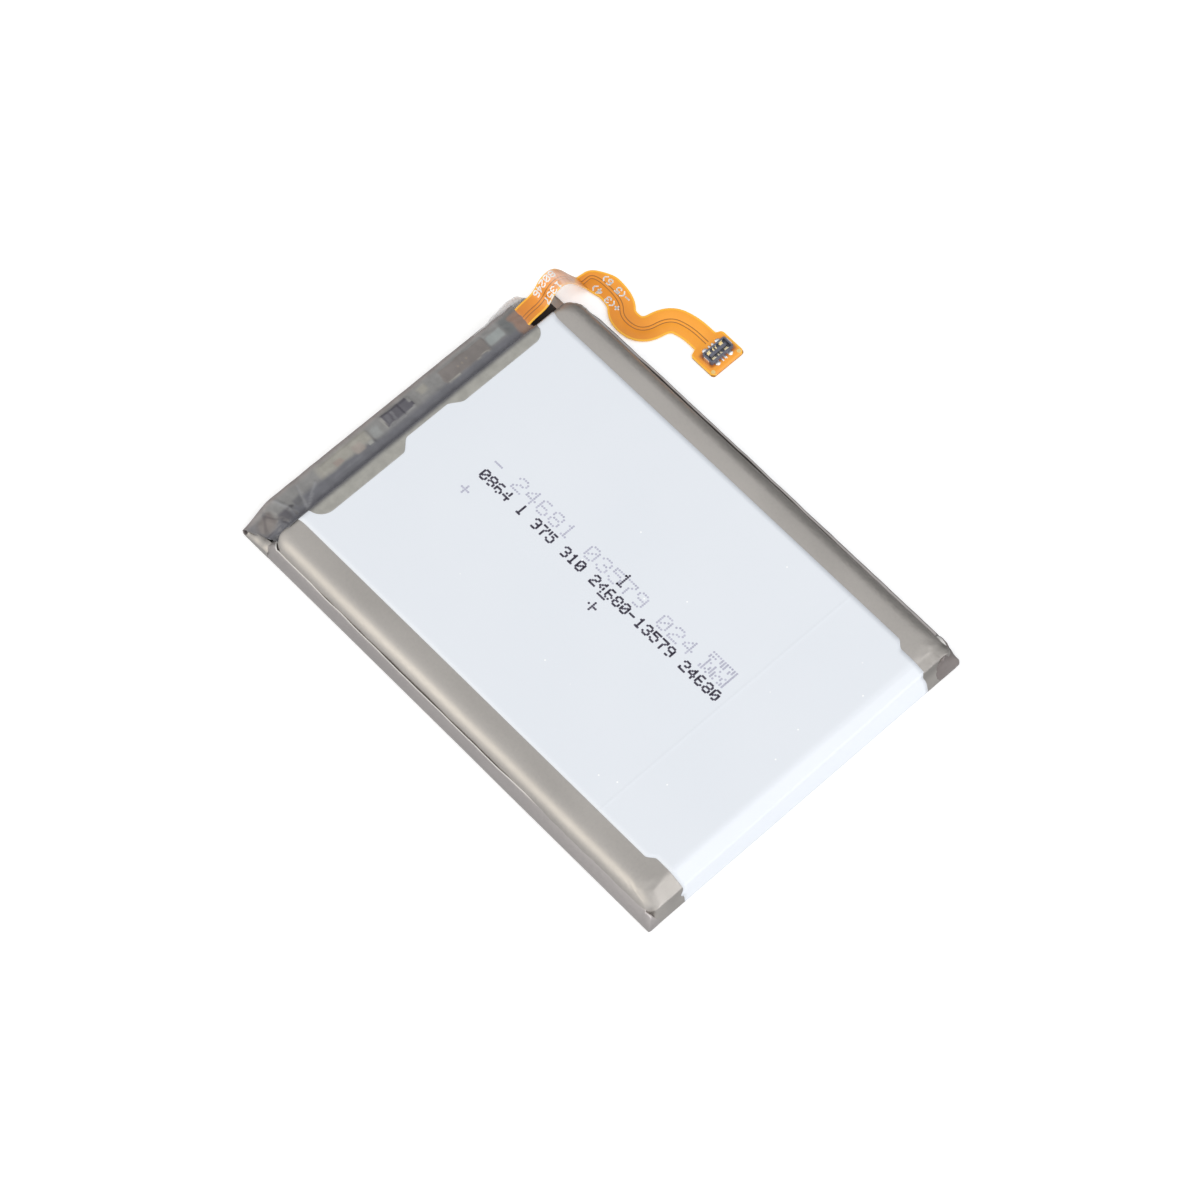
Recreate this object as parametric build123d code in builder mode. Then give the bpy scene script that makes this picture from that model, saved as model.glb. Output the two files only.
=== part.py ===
"""A flat lithium pouch cell with its protection board, header tape and flex circuit tail.

Frame: millimetres, +Z up. The origin is the middle of the cell's back face, which lies at z = 0.
+Y runs along the cell from its tail to the header with the protection board, and the flex circuit
leaves the header towards +X.
"""

from build123d import *
from math import radians, tan
import os

os.makedirs("parts", exist_ok=True)

# ---------------------------------------------------------------- driving dimensions
cell_width = 48.0  # over both folded side seals
cell_length = 67.45  # tail to the header's outer face
cell_thickness = 4.2  # over the label film on both faces

film = 0.05  # label film and header tape
laminate = 0.15  # aluminium pouch laminate
clearance = 0.06  # between the body's walls and what is folded against them

# pouch
header_length = 4.45  # from the body's end wall to the header tape's inner face
shoulder_radius = 2.0  # long top edges of the body
header_edge_radius = 0.7  # top edge above the header
tail_slope_length = 2.05  # sloping top edge above the tail
tail_slope_drop = 1.05
tail_crest_radius = 2.5
tail_ridge_radius = 0.7
tail_corner_radius = 0.9  # upright corners of the body
header_corner_radius = 2.0
terrace_setback = 0.62  # the sealed terrace ends this far inside the header's outer face
terrace_side_setback = 0.45

# folded side seals
seal_sheet = 0.24  # two laminates melted into one strip
seal_gap = 0.04  # between the two leaves of the fold
seal_height = 2.7  # top of the fold
seal_mouth = 0.4  # the inner leaf's cut edge stays this far above the foot
seal_fold_radius = 0.2
seal_end_setback = 0.35  # from the tail
ear_height = 2.5  # laminate ears folded round the tail corners

# label film outline
label_left = -19.3
label_right = 19.6
label_step = 0.75  # the film narrows by this much near the tail
label_step_y = -28.0
label_step_length = 1.2
label_step_radius = 0.8
label_head_setback = 0.15  # from the body's end wall
label_back_setback = 3.0  # on the back face

# electrode stack
cathode_count = 12
cathode_thickness = 0.12
anode_thickness = 0.125
separator_thickness = 0.02
foil = 0.015
stack_clearance = 0.08
stack_front_y = 26.6
stack_back_y = -31.2
plate_setback = 0.15  # plates end this far inside the separator
cathode_half_width = 21.1
anode_half_width = 21.35
separator_half_width = 21.7
stack_tape_width = 8.0
stack_tape_reach = 4.0
stack_tape_spacing = 12.0

# cell tabs
tab_thickness = 0.1
tab_width = 4.0
tab_bend_radius = 0.2
tab_x = {"positive": -9.5, "negative": 8.4}
tab_sealant = 0.1
tab_sealant_margin = 0.8
foil_weld_y = 28.0  # where the foils lie flat on the tab
foil_weld_length = 0.7
tab_clearance = 0.12  # between the tab's upright stretch and the header tape

# protection board
board_length = 37.3
board_left = -20.5
board_width = 2.8
board_thickness = 0.6
board_bottom = 1.9
foam_margin = 0.1
weld_plate_thickness = 0.15
weld_plate_width = 1.9
weld_plate_length = {"positive": 7.0, "negative": 6.8}
nugget_radius = 0.22
nugget_height = 0.04
nugget_spacing = 0.9
lead_height = 0.08

# header tape
header_top = 3.3  # underside of the tape, on the tallest chips
valley_depth = 1.15  # the tape sags this far between the body and the board
valley_start = 0.35  # distances from the body's end wall
valley_end = 0.95
shelf_start = 1.75
tape_right = 17.3  # the tape ends here, and the flex circuit comes out
end_tape_right = -16.0
end_slant_depth = 1.2  # the header's left end is cut at a slant
edge_tape_length = 4.4
edge_tape_top = 3.0

# flex circuit
flex_layer = 0.05
flex_stack = 3 * flex_layer
flex_width = 3.3
arm_width = 2.65
arm_y = 31.375
arm_foot_taper = 0.6  # the arm's outer edge draws in by this much at its foot
conductor_y = 31.1
conductor_reach = 0.95  # half the width over all conductors
conductor_gap_reach = 0.3  # half the width over the gaps beside the centre trace
trace_reach = 0.14  # half the width of the centre trace
corner_radius = 1.6  # of the conductors' middle line
arch_peak = 5.68  # underside of the arch, beside the body's corner
solder_x = 15.2
solder_height = 0.12

# connector pad and board-to-board connector
stiffener_thickness = 0.15
pad_x = 31.4
pad_y = 13.6
pad_length = 5.0
pad_width = 3.8
pad_corner_radius = 0.4
neck_radius = 0.3
connector_x = 31.55
connector_y = 13.75
connector_length = 3.5
connector_width = 1.7
connector_height = 0.65
connector_wall = 0.2
moat_depth = 0.45
island_length = 2.5
island_width = 0.36
contact_sheet = 0.07
power_contact = {"columns": (-0.95, 0.95), "width": 0.5}
signal_contact = {"columns": (-0.25, 0.15), "width": 0.18}
foot_length = 0.4
foot_height = 0.1
hold_down_sheet = 0.08
hold_down_width = 0.9
land_radius = 0.26
land_thickness = 0.02

# ---------------------------------------------------------------- derived places
tail_y = -cell_length / 2 + film
header_y = cell_length / 2 - film
wall_y = header_y - header_length
body_bottom = film
body_top = cell_thickness - film
seal_thickness = 2 * seal_sheet + seal_gap
body_half_width = cell_width / 2 - seal_thickness - clearance
front_bottom = body_bottom + laminate
terrace_edge_y = header_y - terrace_setback
terrace_half_width = body_half_width - terrace_side_setback
tab_bottom = front_bottom + tab_sealant
tab_top = tab_bottom + tab_thickness
tab_turn_y = header_y - tab_clearance
sealant_width = tab_width + 2 * tab_sealant_margin
sealant_height = tab_thickness + 2 * tab_sealant
stack_bottom = front_bottom + stack_clearance
board_y = terrace_edge_y - board_width / 2
board_middle_x = board_left + board_length / 2
board_top = board_bottom + board_thickness
weld_plate_top = board_top + weld_plate_thickness
foam_bottom = front_bottom + sealant_height + laminate
connector_floor = stiffener_thickness + 2 * flex_layer


def finish(piece, node):
    """Name a piece and write it to its own STEP file."""
    piece.label = node
    export_step(piece, f"parts/{node}.step")


# ---------------------------------------------------------------- pouch
def body_form(skin):
    """The closed form of the cell's body, grown outwards by skin."""
    top = body_top + skin
    bottom = body_bottom - skin
    half = body_half_width + skin
    tail = tail_y - skin
    wall = wall_y + skin
    with BuildPart() as form:
        with BuildSketch(Plane.XZ.offset(-wall)):
            with Locations((0, (top + bottom) / 2)):
                section = Rectangle(2 * half, top - bottom)
            fillet(section.vertices().group_by(Axis.Y)[-1], shoulder_radius + skin)
        extrude(amount=wall - tail)
        with BuildSketch(Plane.YZ):
            with BuildLine():
                FilletPolyline(
                    (tail, bottom),
                    (tail, top - tail_slope_drop),
                    (tail + tail_slope_length, top),
                    (wall, top),
                    (wall, bottom),
                    radius=[
                        0,
                        tail_ridge_radius + skin,
                        tail_crest_radius + skin,
                        header_edge_radius + skin,
                        0,
                    ],
                    close=True,
                )
            make_face()
        extrude(amount=half, both=True, mode=Mode.INTERSECT)
        with BuildSketch():
            with Locations((0, (tail + wall) / 2)):
                plan = Rectangle(2 * half, wall - tail)
            fillet(plan.vertices().group_by(Axis.Y)[0], tail_corner_radius + skin)
            fillet(plan.vertices().group_by(Axis.Y)[-1], header_corner_radius + skin)
        extrude(amount=2 * cell_thickness, both=True, mode=Mode.INTERSECT)
    return form.part


outer_body = body_form(0)
cavity = body_form(-laminate)
label_envelope = body_form(film)
tunnel_length = terrace_edge_y - wall_y + laminate
tunnel_y = terrace_edge_y - tunnel_length / 2

with BuildPart() as pouch_front_cup:
    add(outer_body)
    add(cavity, mode=Mode.SUBTRACT)
    # the cup is open towards the back panel
    with BuildSketch(Plane.XY.offset(front_bottom)):
        Rectangle(cell_width, 2 * cell_length)
    extrude(amount=-cell_thickness, mode=Mode.SUBTRACT)
    # the sealed terrace under the protection board
    with BuildSketch(Plane.XY.offset(front_bottom)):
        with Locations((0, tunnel_y)):
            Rectangle(2 * terrace_half_width, tunnel_length)
    extrude(amount=laminate)
    # the laminate rides over each tab and its sealant film
    for x in tab_x.values():
        with BuildSketch(Plane.XY.offset(front_bottom)):
            with Locations((x, tunnel_y)):
                Rectangle(sealant_width + 2 * laminate, tunnel_length)
        extrude(amount=sealant_height + laminate)
        with BuildSketch(Plane.XY.offset(front_bottom)):
            with Locations((x, terrace_edge_y)):
                Rectangle(sealant_width, 2 * tunnel_length)
        extrude(amount=sealant_height, mode=Mode.SUBTRACT)
finish(pouch_front_cup.part, "pouch_front_cup")

with BuildPart() as pouch_back_panel:
    with BuildSketch(Plane.XY.offset(body_bottom)):
        with Locations((0, (tail_y + wall_y) / 2)):
            panel = Rectangle(2 * body_half_width, wall_y - tail_y)
        fillet(panel.vertices().group_by(Axis.Y)[0], tail_corner_radius)
        with Locations((0, tunnel_y)):
            Rectangle(2 * terrace_half_width, tunnel_length)
    extrude(amount=laminate)
finish(pouch_back_panel.part, "pouch_back_panel")


def side_seal(side):
    """A side seal folded up against the body and doubled back on itself."""
    middle = side * (cell_width - seal_thickness) / 2
    inner_leaf = middle - side * (seal_gap + seal_sheet) / 2
    foot_top = body_bottom + seal_sheet
    with BuildPart() as seal:
        with BuildSketch(Plane.XZ.offset(-wall_y)):
            with Locations((middle, (body_bottom + seal_height) / 2)):
                fold = Rectangle(seal_thickness, seal_height - body_bottom)
            crest = fold.vertices().group_by(Axis.Y)[-1]
            outer_foot = fold.vertices().group_by(Axis.Y)[0].sort_by(Axis.X)[-1 if side > 0 else 0]
            fillet(crest + [outer_foot], seal_fold_radius)
            with Locations((middle, (foot_top + seal_height - seal_sheet) / 2)):
                Rectangle(seal_gap, seal_height - seal_sheet - foot_top, mode=Mode.SUBTRACT)
            with Locations((inner_leaf, foot_top + seal_mouth / 2)):
                Rectangle(seal_sheet + seal_gap / 2, seal_mouth, mode=Mode.SUBTRACT)
        extrude(amount=wall_y - tail_y - seal_end_setback)
    return seal.part


finish(side_seal(-1), "side_seal_left")
finish(side_seal(1), "side_seal_right")

# the laminate ears at the tail's corners, between each seal's end and the end wall
with BuildPart() as tail_corner_ears:
    for side in (-1, 1):
        inner_x = side * (body_half_width + clearance)
        outer_x = side * cell_width / 2
        with BuildSketch(Plane.XY.offset(body_bottom)):
            with BuildLine():
                Polyline(
                    (inner_x, tail_y + seal_end_setback - clearance),
                    (outer_x, tail_y + seal_end_setback - clearance),
                    (outer_x - side * seal_sheet, tail_y),
                    (inner_x, tail_y),
                    close=True,
                )
            make_face()
        extrude(amount=ear_height)
finish(tail_corner_ears.part, "tail_corner_ears")


# ---------------------------------------------------------------- electrode stack
layer_pitch = cathode_thickness + anode_thickness + 2 * separator_thickness
anode_z = [
    stack_bottom + separator_thickness + index * layer_pitch for index in range(cathode_count + 1)
]
cathode_z = [
    bottom + anode_thickness + separator_thickness for bottom in anode_z[:cathode_count]
]


def coated_plate(bottom, thickness, half_width, foil_x, order):
    """One coated electrode, with its bare foil led down to the weld on the cell's tab."""
    middle = bottom + thickness / 2
    landing = tab_top + order * foil
    weld_end_y = foil_weld_y + foil_weld_length
    with BuildPart() as plate:
        with BuildSketch(Plane.XY.offset(bottom)):
            with Locations((0, (stack_back_y + stack_front_y) / 2)):
                Rectangle(2 * half_width, stack_front_y - stack_back_y - 2 * plate_setback)
        extrude(amount=thickness)
        with BuildSketch(Plane.YZ.offset(foil_x)):
            with BuildLine():
                Polyline(
                    (stack_front_y - plate_setback, middle - foil / 2),
                    (stack_front_y, middle - foil / 2),
                    (foil_weld_y, landing),
                    (weld_end_y, landing),
                    (weld_end_y, landing + foil),
                    (foil_weld_y, landing + foil),
                    (stack_front_y, middle + foil / 2),
                    (stack_front_y - plate_setback, middle + foil / 2),
                    close=True,
                )
            make_face()
        extrude(amount=tab_width / 2, both=True)
    return plate.part


cathodes = [
    coated_plate(bottom, cathode_thickness, cathode_half_width, tab_x["positive"], order)
    for order, bottom in enumerate(cathode_z)
]
finish(Compound(children=cathodes), "cathode_plates")

anodes = [
    coated_plate(bottom, anode_thickness, anode_half_width, tab_x["negative"], order)
    for order, bottom in enumerate(anode_z)
]
finish(Compound(children=anodes), "anode_plates")

# one separator strip, folded back and forth between the plates
separator_z = sorted(
    [bottom - separator_thickness for bottom in anode_z]
    + [bottom + anode_thickness for bottom in anode_z]
)
stack_top = separator_z[-1] + separator_thickness
with BuildPart() as separator:
    with BuildSketch(Plane.XZ.offset(-stack_front_y)):
        for order, level in enumerate(separator_z):
            with Locations((0, level + separator_thickness / 2)):
                Rectangle(2 * separator_half_width, separator_thickness)
            if order + 1 < len(separator_z):
                side = 1 if order % 2 else -1
                rise = separator_z[order + 1] - level + separator_thickness
                edge = side * (separator_half_width - separator_thickness / 2)
                with Locations((edge, level + rise / 2)):
                    Rectangle(separator_thickness, rise)
    extrude(amount=stack_front_y - stack_back_y)
finish(separator.part, "separator")

# tape strips that hold the stack together at its tail
with BuildPart() as stack_tapes:
    for x in (-stack_tape_spacing, 0, stack_tape_spacing):
        with BuildSketch(Plane.YZ.offset(x)):
            with BuildLine() as wrap:
                Polyline(
                    (stack_back_y + stack_tape_reach, stack_bottom - film / 2),
                    (stack_back_y - film / 2, stack_bottom - film / 2),
                    (stack_back_y - film / 2, stack_top + film / 2),
                    (stack_back_y + stack_tape_reach, stack_top + film / 2),
                )
            trace(wrap.line, line_width=film)
        extrude(amount=stack_tape_width / 2, both=True)
finish(stack_tapes.part, "stack_tapes")


# ---------------------------------------------------------------- cell tabs
def cell_tab(x):
    """A tab that leaves the terrace, turns up round the board's edge and lies on its weld plate."""
    low = tab_bottom + tab_thickness / 2
    high = weld_plate_top + tab_thickness / 2
    turn = tab_turn_y - tab_thickness / 2
    with BuildPart() as tab:
        with BuildSketch(Plane.YZ.offset(x)):
            with BuildLine() as bend:
                FilletPolyline(
                    (foil_weld_y, low),
                    (turn, low),
                    (turn, high),
                    (board_y - weld_plate_width / 2, high),
                    radius=tab_bend_radius,
                )
            trace(bend.line, line_width=tab_thickness)
        extrude(amount=tab_width / 2, both=True)
    return tab.part


finish(cell_tab(tab_x["positive"]), "positive_tab")
finish(cell_tab(tab_x["negative"]), "negative_tab")

# sealant film melted round each tab where it passes through the terrace
sealant_start_y = wall_y - laminate
sealant_end_y = terrace_edge_y + laminate
with BuildPart() as tab_sealant_films:
    for x in tab_x.values():
        with BuildSketch(Plane.XY.offset(front_bottom)):
            with Locations((x, (sealant_start_y + sealant_end_y) / 2)):
                Rectangle(sealant_width, sealant_end_y - sealant_start_y)
        extrude(amount=sealant_height)
        with BuildSketch(Plane.XY.offset(tab_bottom)):
            with Locations((x, (sealant_start_y + sealant_end_y) / 2)):
                Rectangle(tab_width, sealant_end_y - sealant_start_y)
        extrude(amount=tab_thickness, mode=Mode.SUBTRACT)
finish(tab_sealant_films.part, "tab_sealant_films")

# ---------------------------------------------------------------- protection board
board_corner_radius = 0.35

with BuildPart() as header_foam:
    with BuildSketch(Plane.XY.offset(foam_bottom)):
        with Locations((board_middle_x, board_y)):
            RectangleRounded(
                board_length - 2 * foam_margin, board_width - 2 * foam_margin, board_corner_radius
            )
    extrude(amount=board_bottom - foam_bottom)
finish(header_foam.part, "header_foam")

with BuildPart() as protection_board:
    with BuildSketch(Plane.XY.offset(board_bottom)):
        with Locations((board_middle_x, board_y)):
            RectangleRounded(board_length, board_width, board_corner_radius)
    extrude(amount=board_thickness)
finish(protection_board.part, "protection_board")


def weld_plate(pole):
    """A nickel plate soldered on the board, with the cell's tab welded on top."""
    with BuildPart() as plate:
        with BuildSketch(Plane.XY.offset(board_top)):
            with Locations((tab_x[pole], board_y)):
                RectangleRounded(weld_plate_length[pole], weld_plate_width, 0.2)
        extrude(amount=weld_plate_thickness)
    return plate.part


finish(weld_plate("positive"), "positive_weld_plate")
finish(weld_plate("negative"), "negative_weld_plate")

# the weld nuggets that join each tab to its plate
with BuildPart() as weld_nuggets:
    for x in tab_x.values():
        with BuildSketch(Plane.XY.offset(weld_plate_top + tab_thickness)):
            with Locations((x, board_y)):
                with GridLocations(nugget_spacing, 0, 3, 1):
                    Circle(nugget_radius)
        extrude(amount=nugget_height)
finish(weld_nuggets.part, "weld_nuggets")

# chips: middle x, length, width and height of the moulded body, and leads along each side
chip_y = board_y + 0.2
chips = {
    "dual_mosfet": (-2.45, 2.4, 1.5, 0.7, 4),
    "protection_ic": (-0.3, 1.4, 1.3, 0.55, 3),
}
dimple_radius = 0.12
dimple_depth = 0.05
dimple_inset = 0.35
lead_size = (0.3, 0.34)


def moulded_chip(x, length, width, height):
    """A moulded chip with a pin-one dimple in its top."""
    body_z = board_top + lead_height
    with BuildPart() as chip:
        with BuildSketch(Plane.XY.offset(body_z)):
            with Locations((x, chip_y)):
                Rectangle(length, width)
        extrude(amount=height, taper=3)
        with BuildSketch(Plane.XY.offset(body_z + height)):
            with Locations((x - length / 2 + dimple_inset, chip_y - width / 2 + dimple_inset)):
                Circle(dimple_radius)
        extrude(amount=-dimple_depth, mode=Mode.SUBTRACT)
    return chip.part


for node, (x, length, width, height, lead_count) in chips.items():
    finish(moulded_chip(x, length, width, height), node)

with BuildPart() as chip_leads:
    for x, length, width, height, lead_count in chips.values():
        with BuildSketch(Plane.XY.offset(board_top)):
            with Locations((x, chip_y)):
                with GridLocations(length / lead_count, width - 0.1, lead_count, 2):
                    Rectangle(*lead_size)
        extrude(amount=lead_height)
finish(chip_leads.part, "chip_leads")

# ceramic capacitors, sense resistor, thermistor and fuse: centre x and y, length, width, height
chip_components = {
    "chip_capacitors": [
        (1.85, 30.9, 1.0, 0.5, 0.5),
        (1.85, 32.0, 1.0, 0.5, 0.5),
        (3.3, 31.4, 1.0, 0.5, 0.5),
    ],
    "sense_resistor": [(-4.9, 31.5, 0.9, 1.6, 0.4)],
    "thermistor": [(-18.9, 31.5, 1.0, 0.5, 0.5)],
    "chip_fuse": [(13.0, 31.6, 1.6, 0.8, 0.45)],
}
end_cap = 0.22
end_cap_skin = 0.02


def chip_bodies(places):
    """Ceramic bodies of chip components, between their metal end caps."""
    with BuildPart() as bodies:
        for x, y, length, width, height in places:
            with BuildSketch(Plane.XY.offset(board_top + end_cap_skin)):
                with Locations((x, y)):
                    Rectangle(length - 2 * end_cap, width)
            extrude(amount=height)
    return bodies.part


for node, places in chip_components.items():
    finish(chip_bodies(places), node)

with BuildPart() as chip_end_caps:
    for places in chip_components.values():
        for x, y, length, width, height in places:
            with BuildSketch(Plane.XY.offset(board_top)):
                with Locations((x, y)):
                    with GridLocations(length - end_cap, 1, 2, 1):
                        Rectangle(end_cap, width + 2 * end_cap_skin)
            extrude(amount=height + 2 * end_cap_skin)
finish(chip_end_caps.part, "chip_end_caps")


# ---------------------------------------------------------------- label film and header tape
def label_outline():
    """Outline of the label film seen from above, with the rounded steps near its tail."""
    head = wall_y - label_head_setback
    step_end = label_step_y - label_step_length
    end = tail_y - header_length
    with BuildSketch() as outline:
        with BuildLine():
            FilletPolyline(
                (label_left, head),
                (label_left, label_step_y),
                (label_left + label_step, step_end),
                (label_left + label_step, end),
                (label_right - label_step, end),
                (label_right - label_step, step_end),
                (label_right, label_step_y),
                (label_right, head),
                radius=label_step_radius,
                close=True,
            )
        make_face()
    return outline.sketch


with BuildPart() as label_film:
    add(label_envelope)
    add(outer_body, mode=Mode.SUBTRACT)
    with BuildSketch():
        add(label_outline())
    extrude(amount=2 * cell_thickness, both=True, mode=Mode.INTERSECT)
    # the back face is left bare next to the header
    with BuildSketch(Plane.XY.offset(-film)):
        with Locations((0, wall_y)):
            Rectangle(cell_width, 2 * label_back_setback)
    extrude(amount=cell_thickness / 2, mode=Mode.SUBTRACT)
finish(label_film.part, "label_film")


def header_form(skin, right):
    """The closed form that the header tape is drawn over, up to x = right, grown outwards by skin."""
    bottom = body_bottom - skin
    outer = header_y + skin
    start = wall_y + film
    valley_z = body_top - valley_depth + skin
    left = -cell_width / 2 + 2 * film - skin
    with BuildPart() as form:
        with BuildSketch(Plane.YZ):
            with BuildLine():
                FilletPolyline(
                    (start, bottom),
                    (outer, bottom),
                    (outer, header_top + skin),
                    (wall_y + shelf_start, header_top + skin),
                    (wall_y + valley_end, valley_z),
                    (wall_y + valley_start, valley_z),
                    (start, body_top - valley_depth / 2),
                    radius=[0, 0.4, 0.7, 0.6, 0.3, 0.3, 0],
                    close=True,
                )
            make_face()
        extrude(amount=cell_width, both=True)
        with BuildSketch():
            with BuildLine():
                Polyline(
                    (left, start - 1),
                    (left, header_y - end_slant_depth),
                    (left + 6, outer + 1),
                    (right, outer + 1),
                    (right, start - 1),
                    close=True,
                )
            make_face()
        extrude(amount=2 * cell_thickness, both=True, mode=Mode.INTERSECT)
    return form.part


# the tape is open towards the body and where the flex circuit leaves
with BuildPart() as header_tape:
    add(header_form(film, tape_right))
    add(header_form(0, tape_right), mode=Mode.SUBTRACT)
finish(header_tape.part, "header_tape")

# the end of the tape that is pressed down on the label, shorter over its middle
flap_long_y = 27.05
flap_short_y = 28.35
with BuildPart() as header_tape_flap:
    with BuildSketch(Plane.XY.offset(cell_thickness)):
        with BuildLine():
            FilletPolyline(
                (-17.6, wall_y - label_head_setback),
                (-16.2, flap_long_y),
                (-4.4, flap_long_y),
                (-3.6, flap_short_y),
                (3.2, flap_short_y),
                (4.3, flap_long_y + 0.3),
                (16.2, flap_long_y + 0.35),
                (tape_right, wall_y - label_head_setback),
                radius=[0, 0.8, 0.5, 0.5, 0.5, 0.5, 0.8, 0],
                close=True,
            )
        make_face()
    extrude(amount=film)
finish(header_tape_flap.part, "header_tape_flap")

# a second short strip over the header's left end, clear of the panel below
with BuildPart() as header_end_tape:
    add(header_form(2 * film, end_tape_right))
    add(header_form(film, tape_right), mode=Mode.SUBTRACT)
    with BuildSketch(Plane.XZ.offset(-header_y - film)):
        with Locations((end_tape_right, cell_thickness)):
            Rectangle(cell_width, 2 * (cell_thickness - foam_bottom))
    extrude(amount=2 * header_length, mode=Mode.INTERSECT)
finish(header_end_tape.part, "header_end_tape")

# a clear strip that lies on the terrace and stands up behind the flex circuit
strip_z = front_bottom + laminate + film / 2
strip_y = (terrace_edge_y + header_y) / 2
with BuildPart() as edge_tape:
    with BuildSketch(Plane.YZ.offset(tape_right + clearance)):
        with BuildLine() as bend:
            Polyline((board_y, strip_z), (strip_y, strip_z), (strip_y, edge_tape_top))
        trace(bend.line, line_width=film)
    extrude(amount=edge_tape_length)
finish(edge_tape.part, "edge_tape")


# ---------------------------------------------------------------- flex circuit
flat_start_x = 26.55
arm_inner_y = arm_y - arm_width / 2
arm_outer_y = arm_y + arm_width / 2
corner_y = arm_outer_y - arm_foot_taper - flex_width
# the raised arm's underside, seen from the front: x and z of each corner
arm_points = [
    (15.0, board_top),
    (16.5, board_top),
    (17.7, 3.28),
    (20.1, 3.45),
    (21.25, arch_peak),
    (23.3, arch_peak),
    (26.26, stiffener_thickness),
    (flat_start_x, stiffener_thickness),
]
arm_radii = [0.7, 0.7, 0.7, 0.8, 1.2, 0.45]
# the middle line of the flat run, seen from above: x and y of each corner
run_points = [
    (flat_start_x, conductor_y),
    (28.2, conductor_y),
    (28.2, 26.4),
    (26.5, 24.6),
    (27.0, 21.6),
    (30.6, 20.9),
    (31.5, 18.3),
    (31.5, 15.4),
]


def run_radii():
    """Radii of the flat run: each bend is as large as its two straights allow."""
    radii = [corner_radius]
    for before, corner, after in zip(run_points[1:], run_points[2:], run_points[3:]):
        arriving = Vector(*corner) - Vector(*before)
        leaving = Vector(*after) - Vector(*corner)
        half_turn = radians(arriving.get_angle(leaving) / 2)
        radii.append(0.45 * min(arriving.length, leaving.length) / tan(half_turn))
    return radii


def route_beside(points, radii, distance):
    """Corners and radii of a route that keeps a distance to the left of another."""
    corners = [Vector(*point) for point in points]
    headings = [(after - before).normalized() for before, after in zip(corners, corners[1:])]
    normals = [Vector(-heading.Y, heading.X) for heading in headings]
    shifted = [corners[0] + normals[0] * distance]
    for corner, before, after in zip(corners[1:], normals, normals[1:]):
        shifted.append(corner + (before + after) * (distance / (1 + before.dot(after))))
    shifted.append(corners[-1] + normals[-1] * distance)
    turns = [before.cross(after).Z for before, after in zip(headings, headings[1:])]
    shifted_radii = [
        radius - distance if turn > 0 else radius + distance for radius, turn in zip(radii, turns)
    ]
    return shifted, shifted_radii


def arm_strip(first, last, low, high):
    """A strip of the raised arm between two y values and two heights above its underside."""
    corners, radii = route_beside(arm_points, arm_radii, (low + high) / 2)
    with BuildPart() as strip:
        with BuildSketch(Plane.XZ.offset(-last)):
            with BuildLine() as middle:
                FilletPolyline(*corners, radius=radii)
            trace(middle.line, line_width=high - low)
        extrude(amount=last - first)
    return strip.part


def film_outline():
    """Outline of the flat part of the circuit: corner, snaking run and connector pad."""
    neck_x = run_points[-1][0]
    pad_top = pad_y + pad_width / 2
    with BuildSketch() as outline:
        with BuildLine():
            CenterArc((flat_start_x, corner_y), flex_width, 0, 90)
            Polyline(
                (flat_start_x, corner_y + flex_width),
                (flat_start_x, corner_y),
                (flat_start_x + flex_width, corner_y),
            )
        make_face()
        with BuildLine() as run:
            FilletPolyline((run_points[1][0], corner_y), *run_points[2:], radius=run_radii()[1:])
        trace(run.line, line_width=flex_width)
        with Locations((pad_x, pad_y)):
            RectangleRounded(pad_length, pad_width, pad_corner_radius)
        neck = [
            vertex
            for vertex in outline.vertices().filter_by_position(Axis.Y, pad_top - film, pad_top + film)
            if abs(vertex.X - neck_x) < flex_width / 2 + film
        ]
        fillet(neck, neck_radius)
    return outline.sketch


def film_layer(level):
    """One layer of polyimide film over the whole circuit."""
    low = level * flex_layer
    taper_start_x = arm_points[-3][0]
    with BuildPart() as layer:
        add(arm_strip(arm_inner_y, arm_outer_y, low, low + flex_layer))
        with BuildSketch():
            with BuildLine():
                Polyline(
                    (taper_start_x, arm_outer_y),
                    (flat_start_x, arm_outer_y - arm_foot_taper),
                    (flat_start_x, arm_outer_y),
                    close=True,
                )
            make_face()
        extrude(amount=2 * arch_peak, mode=Mode.SUBTRACT)
        with BuildSketch(Plane.XY.offset(stiffener_thickness + low)):
            add(film_outline())
        extrude(amount=flex_layer)
    return layer.part


finish(film_layer(0), "flex_base_film")

# the coverlay leaves the contacts' feet and the soldered end bare
bare_width = connector_width + 2 * foot_length + 0.4
bare_end_length = 1.2
with BuildPart() as flex_coverlay:
    add(film_layer(2))
    with BuildSketch(Plane.XY.offset(stiffener_thickness)):
        with Locations((connector_x, connector_y)):
            Rectangle(connector_length + 2 * foot_height, bare_width)
    extrude(amount=2 * flex_stack, mode=Mode.SUBTRACT)
    with BuildSketch(Plane.XY.offset(board_top)):
        with Locations((solder_x, arm_y)):
            Rectangle(bare_end_length, 2 * arm_width)
    extrude(amount=2 * flex_stack, mode=Mode.SUBTRACT)
finish(flex_coverlay.part, "flex_coverlay")


def conductor(right, left):
    """A flat conductor between two distances to the left of the circuit's middle line."""
    corners, radii = route_beside(run_points, run_radii(), (right + left) / 2)
    with BuildPart() as strip:
        add(arm_strip(conductor_y + right, conductor_y + left, flex_layer, 2 * flex_layer))
        with BuildSketch(Plane.XY.offset(stiffener_thickness + flex_layer)):
            with BuildLine() as middle:
                FilletPolyline(*corners, radius=radii)
            trace(middle.line, line_width=left - right)
        extrude(amount=flex_layer)
    return strip.part


conductors = [
    conductor(conductor_gap_reach, conductor_reach),
    conductor(-trace_reach, trace_reach),
    conductor(-conductor_reach, -conductor_gap_reach),
]
finish(Compound(children=conductors), "flex_conductors")

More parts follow.
